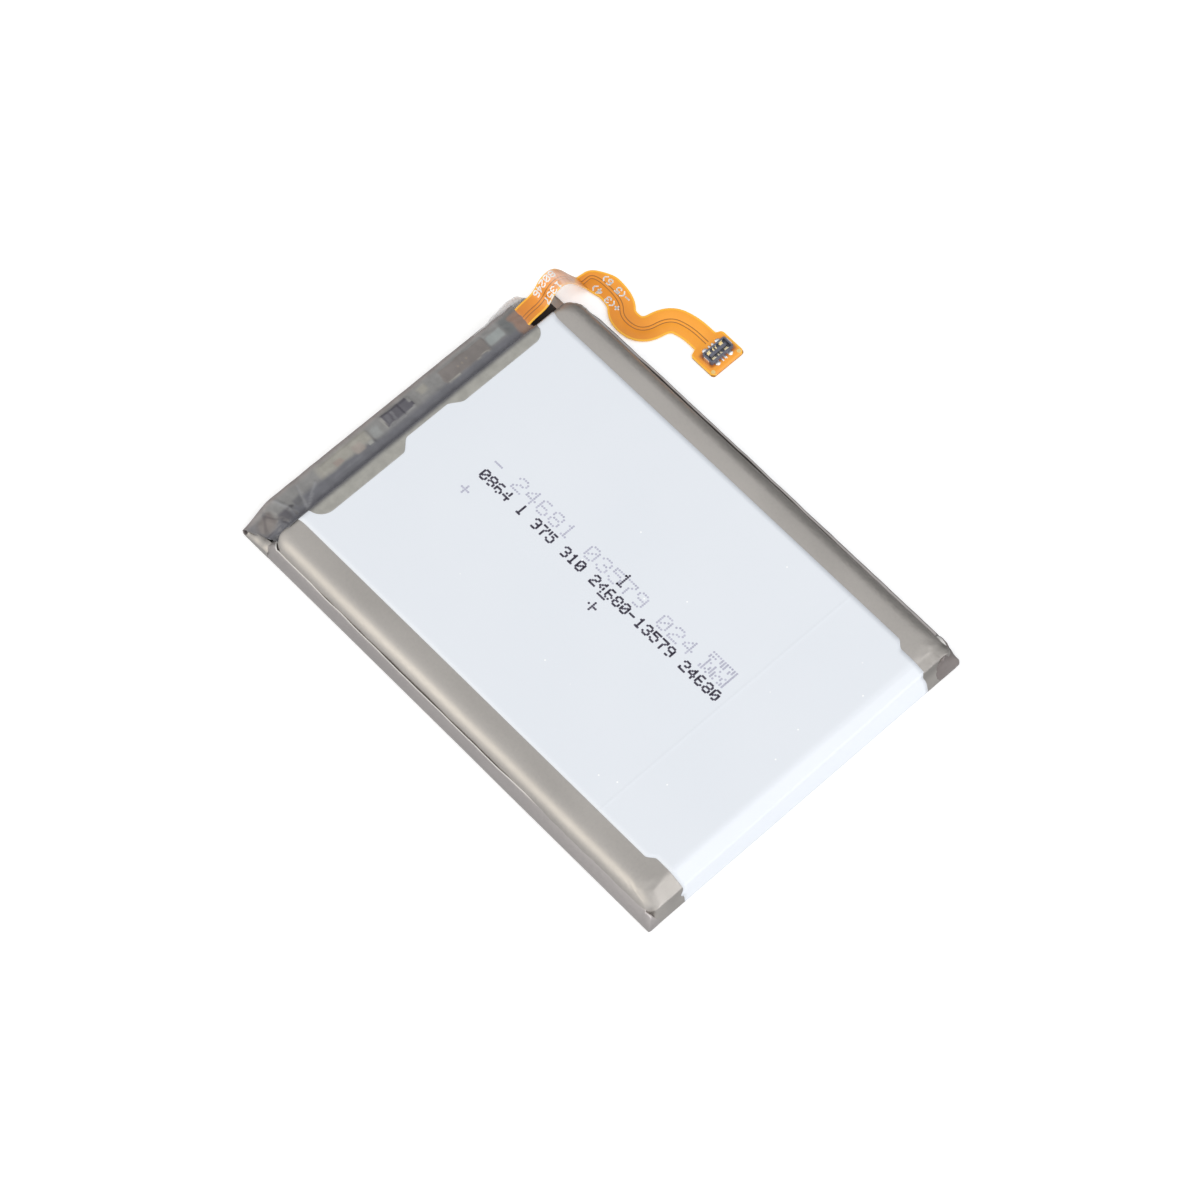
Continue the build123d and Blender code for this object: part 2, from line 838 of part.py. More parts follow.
with BuildPart() as flex_stiffener:
    with BuildSketch():
        with Locations((pad_x, pad_y)):
            RectangleRounded(pad_length, pad_width, pad_corner_radius)
    extrude(amount=stiffener_thickness)
finish(flex_stiffener.part, "flex_stiffener")

# solder that joins the circuit's bare end to the board
with BuildPart() as flex_solder_joints:
    with BuildSketch(Plane.XY.offset(board_top + 2 * flex_layer)):
        with Locations((solder_x, conductor_y)):
            with GridLocations(0, conductor_gap_reach + conductor_reach, 1, 2):
                RectangleRounded(0.7, 0.6, 0.15)
    extrude(amount=solder_height, taper=20)
finish(flex_solder_joints.part, "flex_solder_joints")

# ---------------------------------------------------------------- connector
with BuildPart() as connector_housing:
    with BuildSketch(Plane.XY.offset(connector_floor)):
        with Locations((connector_x, connector_y)):
            RectangleRounded(connector_length, connector_width, connector_wall)
    extrude(amount=connector_height)
    # a moat round a middle island
    with BuildSketch(Plane.XY.offset(connector_floor + connector_height)):
        with Locations((connector_x, connector_y)):
            Rectangle(connector_length - 2 * connector_wall, connector_width - 2 * connector_wall)
            Rectangle(island_length, island_width, mode=Mode.SUBTRACT)
    extrude(amount=-moat_depth, mode=Mode.SUBTRACT)
finish(connector_housing.part, "connector_housing")


def contacts(columns, width):
    """Contacts that stand against the moat's long walls and lie on its floor."""
    moat_half = connector_width / 2 - connector_wall
    moat_floor = connector_floor + connector_height - moat_depth
    lying = (moat_half - island_width / 2) * 0.9
    with BuildPart() as group:
        for side in (-1, 1):
            wall_side = connector_y + side * moat_half
            with BuildSketch(Plane.XY.offset(moat_floor)):
                for column in columns:
                    with Locations((connector_x + column, wall_side - side * contact_sheet / 2)):
                        Rectangle(width, contact_sheet)
            extrude(amount=moat_depth - contact_sheet)
            with BuildSketch(Plane.XY.offset(moat_floor)):
                for column in columns:
                    with Locations((connector_x + column, wall_side - side * lying / 2)):
                        Rectangle(width, lying)
            extrude(amount=contact_sheet)
    return group.part


finish(contacts(**power_contact), "connector_power_contacts")
finish(contacts(**signal_contact), "connector_signal_contacts")

# solder feet outside the housing, in line with the contacts
foot_y = (connector_width + foot_length) / 2
with BuildPart() as connector_feet:
    for contact in (power_contact, signal_contact):
        with BuildSketch(Plane.XY.offset(connector_floor)):
            for column in contact["columns"]:
                with Locations(
                    (connector_x + column, connector_y - foot_y),
                    (connector_x + column, connector_y + foot_y),
                ):
                    Rectangle(contact["width"], foot_length)
        extrude(amount=foot_height)
finish(connector_feet.part, "connector_feet")

# metal straps over the housing's two ends
with BuildPart() as connector_hold_downs:
    with BuildSketch(Plane.XY.offset(connector_floor)):
        with Locations((connector_x, connector_y)):
            with GridLocations(connector_length + hold_down_sheet, 0, 2, 1):
                Rectangle(hold_down_sheet, hold_down_width)
    extrude(amount=connector_height - hold_down_sheet)
finish(connector_hold_downs.part, "connector_hold_downs")

# round gold test lands at the pad's outer corners
with BuildPart() as test_lands:
    with BuildSketch(Plane.XY.offset(stiffener_thickness + flex_stack)):
        with Locations((pad_x, pad_y - 1.4)):
            with GridLocations(4.1, 0, 2, 1):
                Circle(land_radius)
    extrude(amount=land_thickness)
finish(test_lands.part, "test_lands")
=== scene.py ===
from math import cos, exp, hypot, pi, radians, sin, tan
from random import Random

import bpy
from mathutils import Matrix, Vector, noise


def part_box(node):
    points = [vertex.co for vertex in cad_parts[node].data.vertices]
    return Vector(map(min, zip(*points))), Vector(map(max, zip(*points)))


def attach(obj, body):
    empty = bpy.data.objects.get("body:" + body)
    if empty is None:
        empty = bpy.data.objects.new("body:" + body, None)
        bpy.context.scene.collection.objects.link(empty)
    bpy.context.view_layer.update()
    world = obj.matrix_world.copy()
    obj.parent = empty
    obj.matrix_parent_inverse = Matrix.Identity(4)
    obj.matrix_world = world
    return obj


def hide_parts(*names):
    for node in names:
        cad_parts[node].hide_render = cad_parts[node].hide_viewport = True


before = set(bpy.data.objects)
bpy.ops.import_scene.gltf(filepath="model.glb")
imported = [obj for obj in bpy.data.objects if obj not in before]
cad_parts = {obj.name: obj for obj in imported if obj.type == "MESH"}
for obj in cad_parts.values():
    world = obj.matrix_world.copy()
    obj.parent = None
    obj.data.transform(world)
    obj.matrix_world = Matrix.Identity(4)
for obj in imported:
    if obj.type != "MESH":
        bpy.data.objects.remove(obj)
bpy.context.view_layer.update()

# Looks of a flat lithium pouch cell: laminate pouch, label film, header tape and flex circuit.
# The frame is the CAD's: +Y runs from the tail to the header, +Z is up, and the cell lies on z = 0.
# Lengths here are in millimetres until a mesh, a light or the camera is made.

MM = 0.001
noise.seed_set(1)  # without a seed, noise vectors differ from run to run


def corners_mm(node):
    """Lowest and highest corner of a CAD node, in millimetres."""
    low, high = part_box(node)
    return Vector(low) / MM, Vector(high) / MM


def clamp(value, low=0.0, high=1.0):
    """The value, held between low and high."""
    return min(max(value, low), high)


def ease(share):
    """Goes smoothly from 0 to 1 as share does, and stays there."""
    share = clamp(share)
    return share * share * (3 - 2 * share)


def quarter_round(share):
    """Rises from 0 to 1 along a quarter of a circle, which starts level and ends upright."""
    return 1 - (1 - clamp(share) ** 2) ** 0.5


def blend(low, high, share):
    """The value this share of the way from low to high."""
    return low + (high - low) * share


def spread(low, high, count):
    """count + 1 evenly spaced values."""
    return [blend(low, high, index / count) for index in range(count + 1)]


def hill(distance, width):
    """1 at distance 0, and close to 0 beyond twice the width."""
    return exp(-((distance / width) ** 2))


def ripple(x, y, z):
    """Smooth noise between about -1 and 1, with waves about one unit long."""
    return noise.noise(Vector((x, y, z)))


# ---- camera, lights and floor ----
def point_at(thing, target):
    """Turn a camera or a light towards a point."""
    direction = Vector(target) - thing.location
    thing.rotation_mode = "QUATERNION"
    thing.rotation_quaternion = direction.to_track_quat("-Z", "Y")


def direction_from(azimuth, elevation):
    """Unit vector from the object towards a viewer; azimuth 0 stands in front, at -Y."""
    turn = radians(azimuth)
    rise = radians(elevation)
    return Vector((sin(turn) * cos(rise), -cos(turn) * cos(rise), sin(rise)))


scene = bpy.context.scene
scene.view_settings.view_transform = "Standard"


def placed(name, data):
    """A new object of this data, in the scene."""
    made = bpy.data.objects.new(name, data)
    scene.collection.objects.link(made)
    return made


camera_target = Vector((-0.088, -0.240, 0)) * MM
camera_distance = 620.36 * MM
camera_azimuth = -43.02
camera_elevation = 63.44
camera_data = bpy.data.cameras.new("camera")
camera_data.lens = 165
camera_data.sensor_width = 36
camera = placed("camera", camera_data)
camera_side = direction_from(camera_azimuth, camera_elevation)
camera.location = camera_target + camera_side * camera_distance
point_at(camera, camera_target)
scene.camera = camera


def softbox(name, azimuth, elevation, distance, size, power, colour):
    """A rectangular area light that faces the cell."""
    light = bpy.data.lights.new(name, "AREA")
    light.shape = "RECTANGLE"
    light.size, light.size_y = size
    light.energy = power
    light.color = colour
    lamp = placed(name, light)
    lamp.location = direction_from(azimuth, elevation) * distance
    point_at(lamp, (0, 0, 0))


# azimuth and elevation in degrees, distance and size in metres, power in watts, and colour
softbox("light_left", -112, 34, 0.6, (0.46, 0.46), 0.74, (1.0, 0.94, 0.80))
softbox("light_tail", 30, 54, 0.6, (0.50, 0.30), 0.52, (1.0, 1.0, 1.0))
softbox("light_front", 5, 18, 0.7, (0.60, 0.25), 0.85, (0.97, 0.98, 1.0))


# ---- shader nodes ----
class Graph:
    """Shader nodes of a material or the world. Values may be numbers, colours or sockets."""

    def __init__(self, owner):
        owner.use_nodes = True
        self.nodes = owner.node_tree.nodes
        self.links = owner.node_tree.links

    def node(self, kind, inputs, **settings):
        """A shader node of a kind, with its inputs and settings."""
        made = self.nodes.new("ShaderNode" + kind)
        for key, value in settings.items():
            setattr(made, key, value)
        for key, value in inputs.items():
            self.put(value, made.inputs[key])
        return made

    def put(self, value, socket):
        """Link a socket to this one, or set it to a value; colours are given without alpha."""
        if isinstance(value, bpy.types.NodeSocket):
            self.links.new(value, socket)
        elif socket.type == "RGBA":
            socket.default_value = (*value, 1)
        else:
            socket.default_value = value

    def math(self, operation, first, second=0.0):
        return self.node("Math", {0: first, 1: second}, operation=operation).outputs[0]

    def product(self, first, second):
        return self.math("MULTIPLY", first, second)

    def remap(self, value, low, high, new_low=0.0, new_high=1.0):
        """Goes smoothly from new_low to new_high as the value goes from low to high."""
        ends = {"From Min": low, "From Max": high, "To Min": new_low, "To Max": new_high}
        inputs = {"Value": value, **ends}
        return self.node("MapRange", inputs, interpolation_type="SMOOTHSTEP").outputs["Result"]

    def mix(self, share, first, second):
        """The first colour at share 0, and the second at share 1."""
        made = self.node("Mix", {0: share}, data_type="RGBA")
        self.put(first, made.inputs[6])
        self.put(second, made.inputs[7])
        return made.outputs[2]


def studio_world():
    """Soft white surroundings, grey behind the cell and a little darker below it."""
    made = bpy.data.worlds.new("studio")
    graph = Graph(made)
    direction = graph.node("TexCoord", {}).outputs["Generated"]

    def strength_along(axis, low, high, low_strength, high_strength):
        """Strength of the light by how far its direction leans along an axis."""
        lean = graph.node("VectorMath", {0: direction, 1: axis}, operation="DOT_PRODUCT")
        return graph.remap(lean.outputs["Value"], low, high, low_strength, high_strength)

    behind = strength_along((0.68, 0.73, 0), 0.40, 0.85, 0.94, 0.20)
    below = strength_along((0, 0, 1), -0.5, 0.0, 0.65, 1.0)
    background = graph.nodes["Background"]
    graph.put(graph.product(behind, below), background.inputs["Strength"])
    graph.put((0.97, 0.985, 1.0), background.inputs["Color"])
    return made


scene.world = studio_world()


# ---- materials ----
class Look(Graph):
    """A procedural material. Sizes are in millimetres."""

    def __init__(self, name, **constants):
        self.material = bpy.data.materials.new(name)
        super().__init__(self.material)
        self.shader = self.nodes["Principled BSDF"]
        for key, value in constants.items():
            self.put(value, self.shader.inputs[key.replace("_", " ")])
        self.place = self.node("TexCoord", {}).outputs["Object"]

    def stretched(self, size, stretch=(1, 1, 1)):
        """Coordinates in which a grain of this size is one unit long."""
        scale = [share / (size * MM) for share in stretch]
        return self.node("Mapping", {"Vector": self.place, "Scale": scale}).outputs["Vector"]

    def noise(self, size, detail=3, roughness=0.55, stretch=(1, 1, 1)):
        """Noise with a grain of this size; it mostly keeps between 0.3 and 0.7."""
        grain = self.stretched(size, stretch)
        inputs = {"Vector": grain, "Scale": 1, "Detail": detail, "Roughness": roughness}
        return self.node("TexNoise", inputs).outputs["Fac"]

    def cells(self, size):
        """Distance from scattered points about one size apart."""
        inputs = {"Vector": self.stretched(size), "Scale": 1}
        return self.node("TexVoronoi", inputs).outputs["Distance"]

    def coordinate(self, axis):
        """One coordinate in millimetres."""
        parts = self.node("SeparateXYZ", {"Vector": self.place})
        return self.math("DIVIDE", parts.outputs[axis], MM)

    def mottle(self, grain, dark, light):
        """Two colours mixed by a noise."""
        return self.mix(self.remap(grain, 0.3, 0.7), dark, light)

    def colour(self, value):
        self.put(value, self.shader.inputs["Base Color"])

    def rough(self, grain, low, high):
        """Roughness between low and high, by a noise."""
        self.put(self.remap(grain, 0.3, 0.7, low, high), self.shader.inputs["Roughness"])

    def bump(self, height, depth, strength=1.0, under=None):
        """Height from 0 to 1, worth this depth, on top of another bump."""
        inputs = {"Height": height, "Distance": depth * MM, "Strength": strength}
        if under is not None:
            inputs["Normal"] = under
        made = self.node("Bump", inputs).outputs["Normal"]
        self.put(made, self.shader.inputs["Normal"])
        return made


def grey(value, warmth):
    """A grey; warmth moves it towards brown."""
    return (value * (1 + warmth), value, value * (1 - warmth))


def laminate_look(name, base, tint, wrinkles=0.03):
    """Nylon-faced aluminium laminate: a satin metal with a fine grain and long soft streaks.

    It is darker on the slope at the right end of the tail: painted shade that tones down the
    highlight there.
    """

    def tinted(value):
        return [base * value * part for part in tint]

    look = Look(name, Metallic=0.85)
    streaks = look.noise(6, 2, 0.5, (1, 0.25, 1))
    grain = look.noise(0.35, 4, 0.6)
    shade = look.math("ADD", look.product(streaks, 0.7), look.product(grain, 0.3))
    plain = look.mottle(shade, tinted(0.88), tinted(1.1))
    along = look.coordinate("Y")
    slope = look.product(look.remap(along, -31.1, -32.0), look.remap(along, -33.4, -33.0))
    # painted shade over the highlight on the right end of the tail's slope
    painted_slope_shade = look.product(slope, look.remap(look.coordinate("X"), 12, 20, 0, 0.9))
    look.colour(look.mix(painted_slope_shade, plain, tinted(0.66)))
    look.rough(grain, 0.36, 0.49)
    coarse = look.bump(look.noise(2.5, 2), wrinkles, 0.5)
    look.bump(grain, 0.006, 0.8, coarse)
    return look.material


laminate = laminate_look("laminate", 0.44, (1.065, 1.0, 0.935))
seal_laminate = laminate_look("seal_laminate", 0.445, (1.075, 1.0, 0.975))
# a darker copy of the laminate, which paints shade on the right seal's gathered ends and inside its
# rolled edge
shaded_laminate = laminate_look("shaded_laminate", 0.29, (1.14, 1.0, 0.96), 0.35)


def cut_edge_look():
    """The cut edge of the laminate, where the bare aluminium shows."""
    look = Look("cut_edge", Metallic=0.6)
    nicks = look.noise(0.3, 3, 0.6, (1, 0.4, 1))
    look.colour(look.mix(nicks, grey(0.55, 0.03), grey(0.85, 0.03)))
    look.rough(nicks, 0.35, 0.5)
    look.bump(nicks, 0.01)
    return look.material


cut_edge = cut_edge_look()


def label_look():
    """Satin white film with a faint orange peel, a few specks of dust and a pressed line."""
    look = Look("label_film", Specular_IOR_Level=0.5, Coat_Weight=0.6, Coat_Roughness=0.16)
    clouds = look.noise(14, 2, 0.5)
    peel = look.noise(0.5, 3, 0.5)
    paper = look.mix(clouds, (0.725, 0.755, 0.805), (0.760, 0.785, 0.830))
    specks = look.remap(look.cells(3.1), 0.045, 0.02)
    look.colour(look.mix(specks, paper, (0.97, 0.97, 0.97)))
    look.rough(peel, 0.3, 0.4)
    along = look.coordinate("Y")
    line = look.remap(look.math("ABSOLUTE", look.math("ADD", along, 20.6)), 0.25, 0.05)
    under = look.bump(line, 0.03, 0.5)
    under = look.bump(look.noise(9, 2), 0.05, 0.3, under)
    look.bump(peel, 0.004, 0.6, under)
    return look.material


label_white = label_look()


def header_tape_look():
    """Grey tape with fine creases; its colour layer holds what shows through it, painted shade and
    painted glare.
    """
    look = Look("header_tape", Coat_Weight=0.5, Coat_Roughness=0.12)
    shown = look.node("Attribute", {}, attribute_name="seen_through_and_painted_light").outputs["Color"]
    smear = look.noise(1.4, 3, 0.6)
    fine = look.noise(0.25, 3, 0.6)
    haze = look.remap(smear, 0.3, 0.7, 0.90, 1.08)
    shaded = look.node("VectorMath", {0: shown, 1: haze}, operation="MULTIPLY")
    look.colour(shaded.outputs["Vector"])
    look.rough(fine, 0.30, 0.45)
    under = look.bump(look.noise(1.6, 3, 0.6, (0.6, 1, 1)), 0.05, 0.35)
    look.bump(fine, 0.006, 0.6, under)
    return look.material


header_tape_grey = header_tape_look()


def clear_tape_look():
    """A strip of clear tape, slightly milky and creased."""
    look = Look("clear_tape", Alpha=0.6, Coat_Weight=0.5, Coat_Roughness=0.1)
    milk = look.noise(1.2, 3)
    look.colour(look.mix(milk, (0.74, 0.73, 0.73), (0.88, 0.87, 0.86)))
    look.rough(milk, 0.2, 0.4)
    look.bump(look.noise(0.8, 3, 0.6, (0.4, 1, 1)), 0.05, 0.6)
    return look.material


clear_tape = clear_tape_look()


def flex_look():
    """Orange polyimide over copper; painted shadow by the header tape, painted glare on the crest of
    the bend and dark red-brown round the connector.
    """
    look = Look("flex_film", Coat_Weight=0.5, Coat_Roughness=0.08)
    copper = look.node("Attribute", {}, attribute_name="copper").outputs["Fac"]
    mottle = look.noise(1.4, 3)
    gap = look.mix(mottle, (0.33, 0.10, 0.004), (0.40, 0.13, 0.006))
    # painted shadow: the film is darker orange where it comes out from under the header tape
    root = look.mix(mottle, (0.58, 0.17, 0.001), (0.68, 0.21, 0.002))
    arm = look.mix(mottle, (0.78, 0.25, 0.001), (0.88, 0.30, 0.003))
    run = look.mix(mottle, (0.95, 0.34, 0.012), (1.0, 0.40, 0.02))
    along = look.coordinate("X")
    near = look.mix(look.remap(along, 16.5, 20.5), root, arm)
    metal = look.mix(look.remap(along, 26.5, 31.0), near, run)
    film = look.mix(mottle, (1.0, 0.46, 0.012), (1.0, 0.52, 0.03))
    over_gap = look.mix(look.remap(copper, 0.0, 0.5), gap, metal)
    plain = look.mix(look.remap(copper, 1.0, 2.0), over_gap, film)
    # painted glare: the crest of the bend turns whitish, where the film would mirror the bright
    # surroundings; streaks break it up
    bend = look.product(look.remap(along, 21.0, 23.0), look.remap(along, 26.4, 25.2))
    bend = look.product(bend, look.remap(look.coordinate("Y"), 28.6, 29.2))
    glare_streaks = look.remap(look.noise(0.6, 3, 0.6, (1, 0.3, 1)), 0.25, 0.65, 0.25, 0.75)
    painted_glare = look.product(bend, glare_streaks)
    # the film turns dark red-brown round the connector's base
    round_connector = 0.75
    for axis, start, end in zip("XY", *corners_mm("connector_housing")):
        away = look.math("SUBTRACT", look.coordinate(axis), (start + end) / 2)
        half = (end - start) / 2
        beside = look.remap(look.math("ABSOLUTE", away), half + 0.5, half)
        round_connector = look.product(beside, round_connector)
    darkened_film = look.mix(round_connector, plain, (0.30, 0.045, 0.012))
    look.colour(look.mix(painted_glare, darkened_film, (0.95, 0.70, 0.60)))
    look.rough(mottle, 0.3, 0.4)
    look.bump(look.noise(0.4, 2), 0.002, 0.4)
    return look.material


flex_film = flex_look()


def metal_look(name, dark, light, roughness):
    """A plain metal with fine grain and uneven tarnish."""
    look = Look(name, Metallic=1.0)
    tarnish = look.noise(1.0, 3)
    grain = look.noise(0.25, 3)
    look.colour(look.mottle(tarnish, dark, light))
    look.rough(grain, roughness, roughness + 0.15)
    look.bump(grain, 0.006, 0.7)
    return look.material


def dull_look(name, dark, light, roughness, grain_size=0.3, depth=0.008):
    """A plastic, ceramic, coating or paper: mottled colour and a fine matt grain."""
    look = Look(name, Specular_IOR_Level=0.4)
    patches = look.noise(grain_size * 5, 3)
    grain = look.noise(grain_size, 4, 0.65)
    shade = look.math("ADD", look.product(patches, 0.6), look.product(grain, 0.4))
    look.colour(look.mottle(shade, dark, light))
    look.rough(grain, roughness, roughness + 0.15)
    look.bump(grain, depth, 0.8)
    return look.material


# darkest colour, lightest colour and lowest roughness
metals = {
    "gold_plating": ((1.0, 0.84, 0.50), (1.0, 0.93, 0.72), 0.36),
    "land_gold": ((1.0, 0.72, 0.28), (1.0, 0.82, 0.42), 0.4),
    "tin_solder": ((0.88, 0.88, 0.89), (1.0, 1.0, 1.0), 0.32),
    "nickel_plate": ((0.52, 0.50, 0.47), (0.70, 0.68, 0.64), 0.3),
    "aluminium_foil": ((0.70, 0.70, 0.71), (0.84, 0.84, 0.85), 0.28),
}
# the same, and where they differ the size and the depth of the grain
dull_surfaces = {
    "moulded_black": ((0.012, 0.012, 0.014), (0.03, 0.03, 0.034), 0.45),
    "connector_plastic": ((0.10, 0.105, 0.135), (0.15, 0.155, 0.20), 0.35),
    "board_mask": ((0.03, 0.05, 0.04), (0.05, 0.08, 0.06), 0.35),
    "foam": ((0.10, 0.10, 0.10), (0.20, 0.20, 0.20), 0.85, 0.15, 0.05),
    "ceramic": ((0.40, 0.30, 0.20), (0.52, 0.42, 0.30), 0.4),
    "cathode_coating": ((0.015, 0.015, 0.016), (0.035, 0.035, 0.037), 0.7),
    "anode_coating": ((0.03, 0.03, 0.033), (0.06, 0.06, 0.064), 0.65),
    "separator_film": ((0.75, 0.75, 0.76), (0.85, 0.85, 0.86), 0.5),
    "sealant": ((0.35, 0.30, 0.22), (0.50, 0.45, 0.36), 0.3),
    "stack_tape": ((0.05, 0.20, 0.14), (0.08, 0.28, 0.20), 0.35),
    "stiffener": ((0.30, 0.12, 0.02), (0.42, 0.18, 0.03), 0.4),
    # painted shadow: a black coat for the terrace under the flex circuit
    "painted_shadow_black": ((0.012, 0.010, 0.010), (0.03, 0.026, 0.026), 0.5),
    "print_ink": ((0.045, 0.038, 0.065), (0.11, 0.10, 0.14), 0.6, 0.1),
    "worn_ink": ((0.38, 0.38, 0.48), (0.56, 0.56, 0.66), 0.6, 0.1),
    "white_ink": ((0.80, 0.80, 0.78), (0.92, 0.92, 0.90), 0.5, 0.1),
}
looks = {name: metal_look(name, *metal) for name, metal in metals.items()}
looks |= {name: dull_look(name, *surface) for name, surface in dull_surfaces.items()}
looks["laminate"] = laminate

# the CAD nodes that each look is put on
nodes_by_look = {
    "laminate": "pouch_back_panel",
    "cathode_coating": "cathode_plates",
    "anode_coating": "anode_plates",
    "separator_film": "separator",
    "stack_tape": "stack_tapes",
    "aluminium_foil": "positive_tab",
    "nickel_plate": "negative_tab positive_weld_plate negative_weld_plate weld_nuggets",
    "sealant": "tab_sealant_films",
    "foam": "header_foam",
    "board_mask": "protection_board",
    "moulded_black": "dual_mosfet protection_ic sense_resistor",
    "ceramic": "chip_capacitors thermistor chip_fuse",
    "tin_solder": "chip_leads chip_end_caps flex_solder_joints connector_feet connector_hold_downs",
    "stiffener": "flex_stiffener",
    "connector_plastic": "connector_housing",
    "gold_plating": "connector_power_contacts connector_signal_contacts",
    "land_gold": "test_lands",
}
for name, nodes in nodes_by_look.items():
    for node in nodes.split():
        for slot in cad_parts[node].material_slots:
            slot.material = looks[name]


# ---- mesh helpers ----
def piece(name, points, faces, look, smooth=True):
    """A mesh object of points in millimetres that rides on the cell."""
    mesh = bpy.data.meshes.new(name)
    mesh.from_pydata([Vector(point) * MM for point in points], [], faces)
    mesh.materials.append(look)
    for polygon in mesh.polygons:
        polygon.use_smooth = smooth
    made = placed(name, mesh)
    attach(made, "root")
    return made


def grid_faces(row_count, column_count, closed=False, start=0):
    """Quads between rows of points; closed joins each row's last point to its first."""
    faces = []
    last = column_count if closed else column_count - 1
    for row in range(row_count - 1):
        low = start + row * column_count
        high = low + column_count
        for column in range(last):
            beside = (column + 1) % column_count
            faces.append((low + column, low + beside, high + beside, high + column))
    return faces


def solid_faces(ring_count, ring_size, start=0):
    """Faces of a solid made of closed rings of points, with a cap at both ends."""
    faces = grid_faces(ring_count, ring_size, closed=True, start=start)
    last = start + ring_size * (ring_count - 1)
    faces.append(tuple(range(start + ring_size - 1, start - 1, -1)))
    faces.append(tuple(range(last, last + ring_size)))
    return faces


def film_piece(name, rows, thickness, look):
    """A thin sheet whose outer face is a grid of points."""
    points = sum(rows, [])
    made = piece(name, points, grid_faces(len(rows), len(rows[0])), look)
    thicken(made, thickness)
    even_normals(made)
    return made


def thicken(made, thickness):
    """Give a sheet a thickness, inwards from its face."""
    solid = made.modifiers.new("thickness", "SOLIDIFY")
    solid.thickness = thickness * MM
    solid.offset = -1


def even_normals(made):
    """Large faces decide the shading, so narrow rims keep their edges crisp."""
    normals = made.modifiers.new("normals", "WEIGHTED_NORMAL")
    normals.weight = 100


def rounded_corner(corner, before, after, radius, count):
    """Points of an arc of this radius that touches the lines from before to corner to after."""
    corner, before, after = Vector(corner), Vector(before), Vector(after)
    back = (before - corner).normalized()
    ahead = (after - corner).normalized()
    half = back.angle(ahead) / 2
    reach = radius / tan(half)
    middle = corner + (back + ahead).normalized() * (radius / sin(half))
    start = corner + back * reach - middle
    end = corner + ahead * reach - middle
    return [middle + start.slerp(end, share) * radius for share in spread(0, 1, count)]


# ---- flex circuit ----
half_stack = 0.075  # half the thickness of film, conductors and coverlay
board_z = 2.5 + half_stack
crest_z = 5.66 + half_stack
flat_z = 0.15 + half_stack
arm_y = 31.1
# from the board over the arch, down onto the flat run and along its bends to the connector
route = [
    (15.0, arm_y, board_z),
    (16.5, arm_y, board_z),
    (17.7, arm_y, 3.28 + half_stack),
    (20.1, arm_y, 3.45 + half_stack),
    (21.25, arm_y, crest_z),
    (23.3, arm_y, crest_z),
    (26.26, arm_y, flat_z),
    (26.55, arm_y, flat_z),
    (28.2, arm_y, flat_z),
    (28.2, 26.4, flat_z),
    (26.5, 24.6, flat_z),
    (27.0, 21.6, flat_z),
    (30.6, 20.9, flat_z),
    (31.5, 18.3, flat_z),
    (31.5, 15.4, flat_z),
    (31.5, 11.7, flat_z),
]


def smooth_line(name, points):
    """Points in millimetres along a smooth spline that these points control."""
    curve = bpy.data.curves.new(name, "CURVE")
    curve.dimensions = "3D"
    curve.resolution_u = 16
    spline = curve.splines.new("NURBS")
    spline.points.add(len(points) - 1)
    for knot, point in zip(spline.points, points):
        knot.co = (*(Vector(point) * MM), 1)
    spline.order_u = 3
    spline.use_endpoint_u = True
    holder = placed(name, curve)
    drawn = bpy.data.meshes.new_from_object(holder)
    line = [vertex.co / MM for vertex in drawn.vertices]
    bpy.data.objects.remove(holder)
    bpy.data.curves.remove(curve)
    bpy.data.meshes.remove(drawn)
    return line


flex_line = smooth_line("flex_line", route)
flex_distance = [0.0]
for before, after in zip(flex_line, flex_line[1:]):
    flex_distance.append(flex_distance[-1] + (after - before).length)
flex_length = flex_distance[-1]


def index_at(distance):
    """The first point of the flex circuit's line that lies this far along it."""
    return next(index for index, reached in enumerate(flex_distance) if reached >= distance)


def flex_frame(index):
    """A point of the flex circuit's line, its direction to the left and its outward normal."""
    before = flex_line[max(index - 1, 0)]
    after = flex_line[min(index + 1, len(flex_line) - 1)]
    along = (after - before).normalized()
    left = Vector((-along.y, along.x, 0)).normalized()
    return flex_line[index], left, along.cross(left)


def between(distance, stations):
    """Value at a distance, eased between stations of (distance, value)."""
    for (start, low), (end, high) in zip(stations, stations[1:]):
        if distance <= end:
            return blend(low, high, ease((distance - start) / (end - start)))
    return stations[-1][1]


# reach of the circuit's edges beside its line, as (distance along it, reach)
pad_start = flex_length - 3.8
pad_corner = 0.4
run_reach = 1.65
run_end = (pad_start - 0.35, run_reach)
outer_reach = [(0, 1.6), (9.5, 1.6), (15.4, 1.02), (16.6, 0.92), (19.2, run_reach)]
outer_reach += [run_end, (pad_start + 0.1, 2.4)]
inner_reach = [(0, 1.05), (14, 1.05), (19.5, run_reach), run_end, (pad_start + 0.1, 2.6)]
# between these distances the inner edge cuts straight across the corner after the arm
corner_start = 15.0
corner_end = 19.2


def pad_rounding(distance):
    """How far the pad's far corners draw its edges in."""
    over = max(distance - (flex_length - pad_corner), 0)
    return pad_corner - (max(pad_corner**2 - over**2, 0)) ** 0.5


def edge_across(index, side, reach):
    """Edge of the circuit straight across from its line; side is 1 to the left, -1 to the right."""
    middle, left, outward = flex_frame(index)
    distance = flex_distance[index]
    return middle + left * side * (between(distance, reach) - pad_rounding(distance))


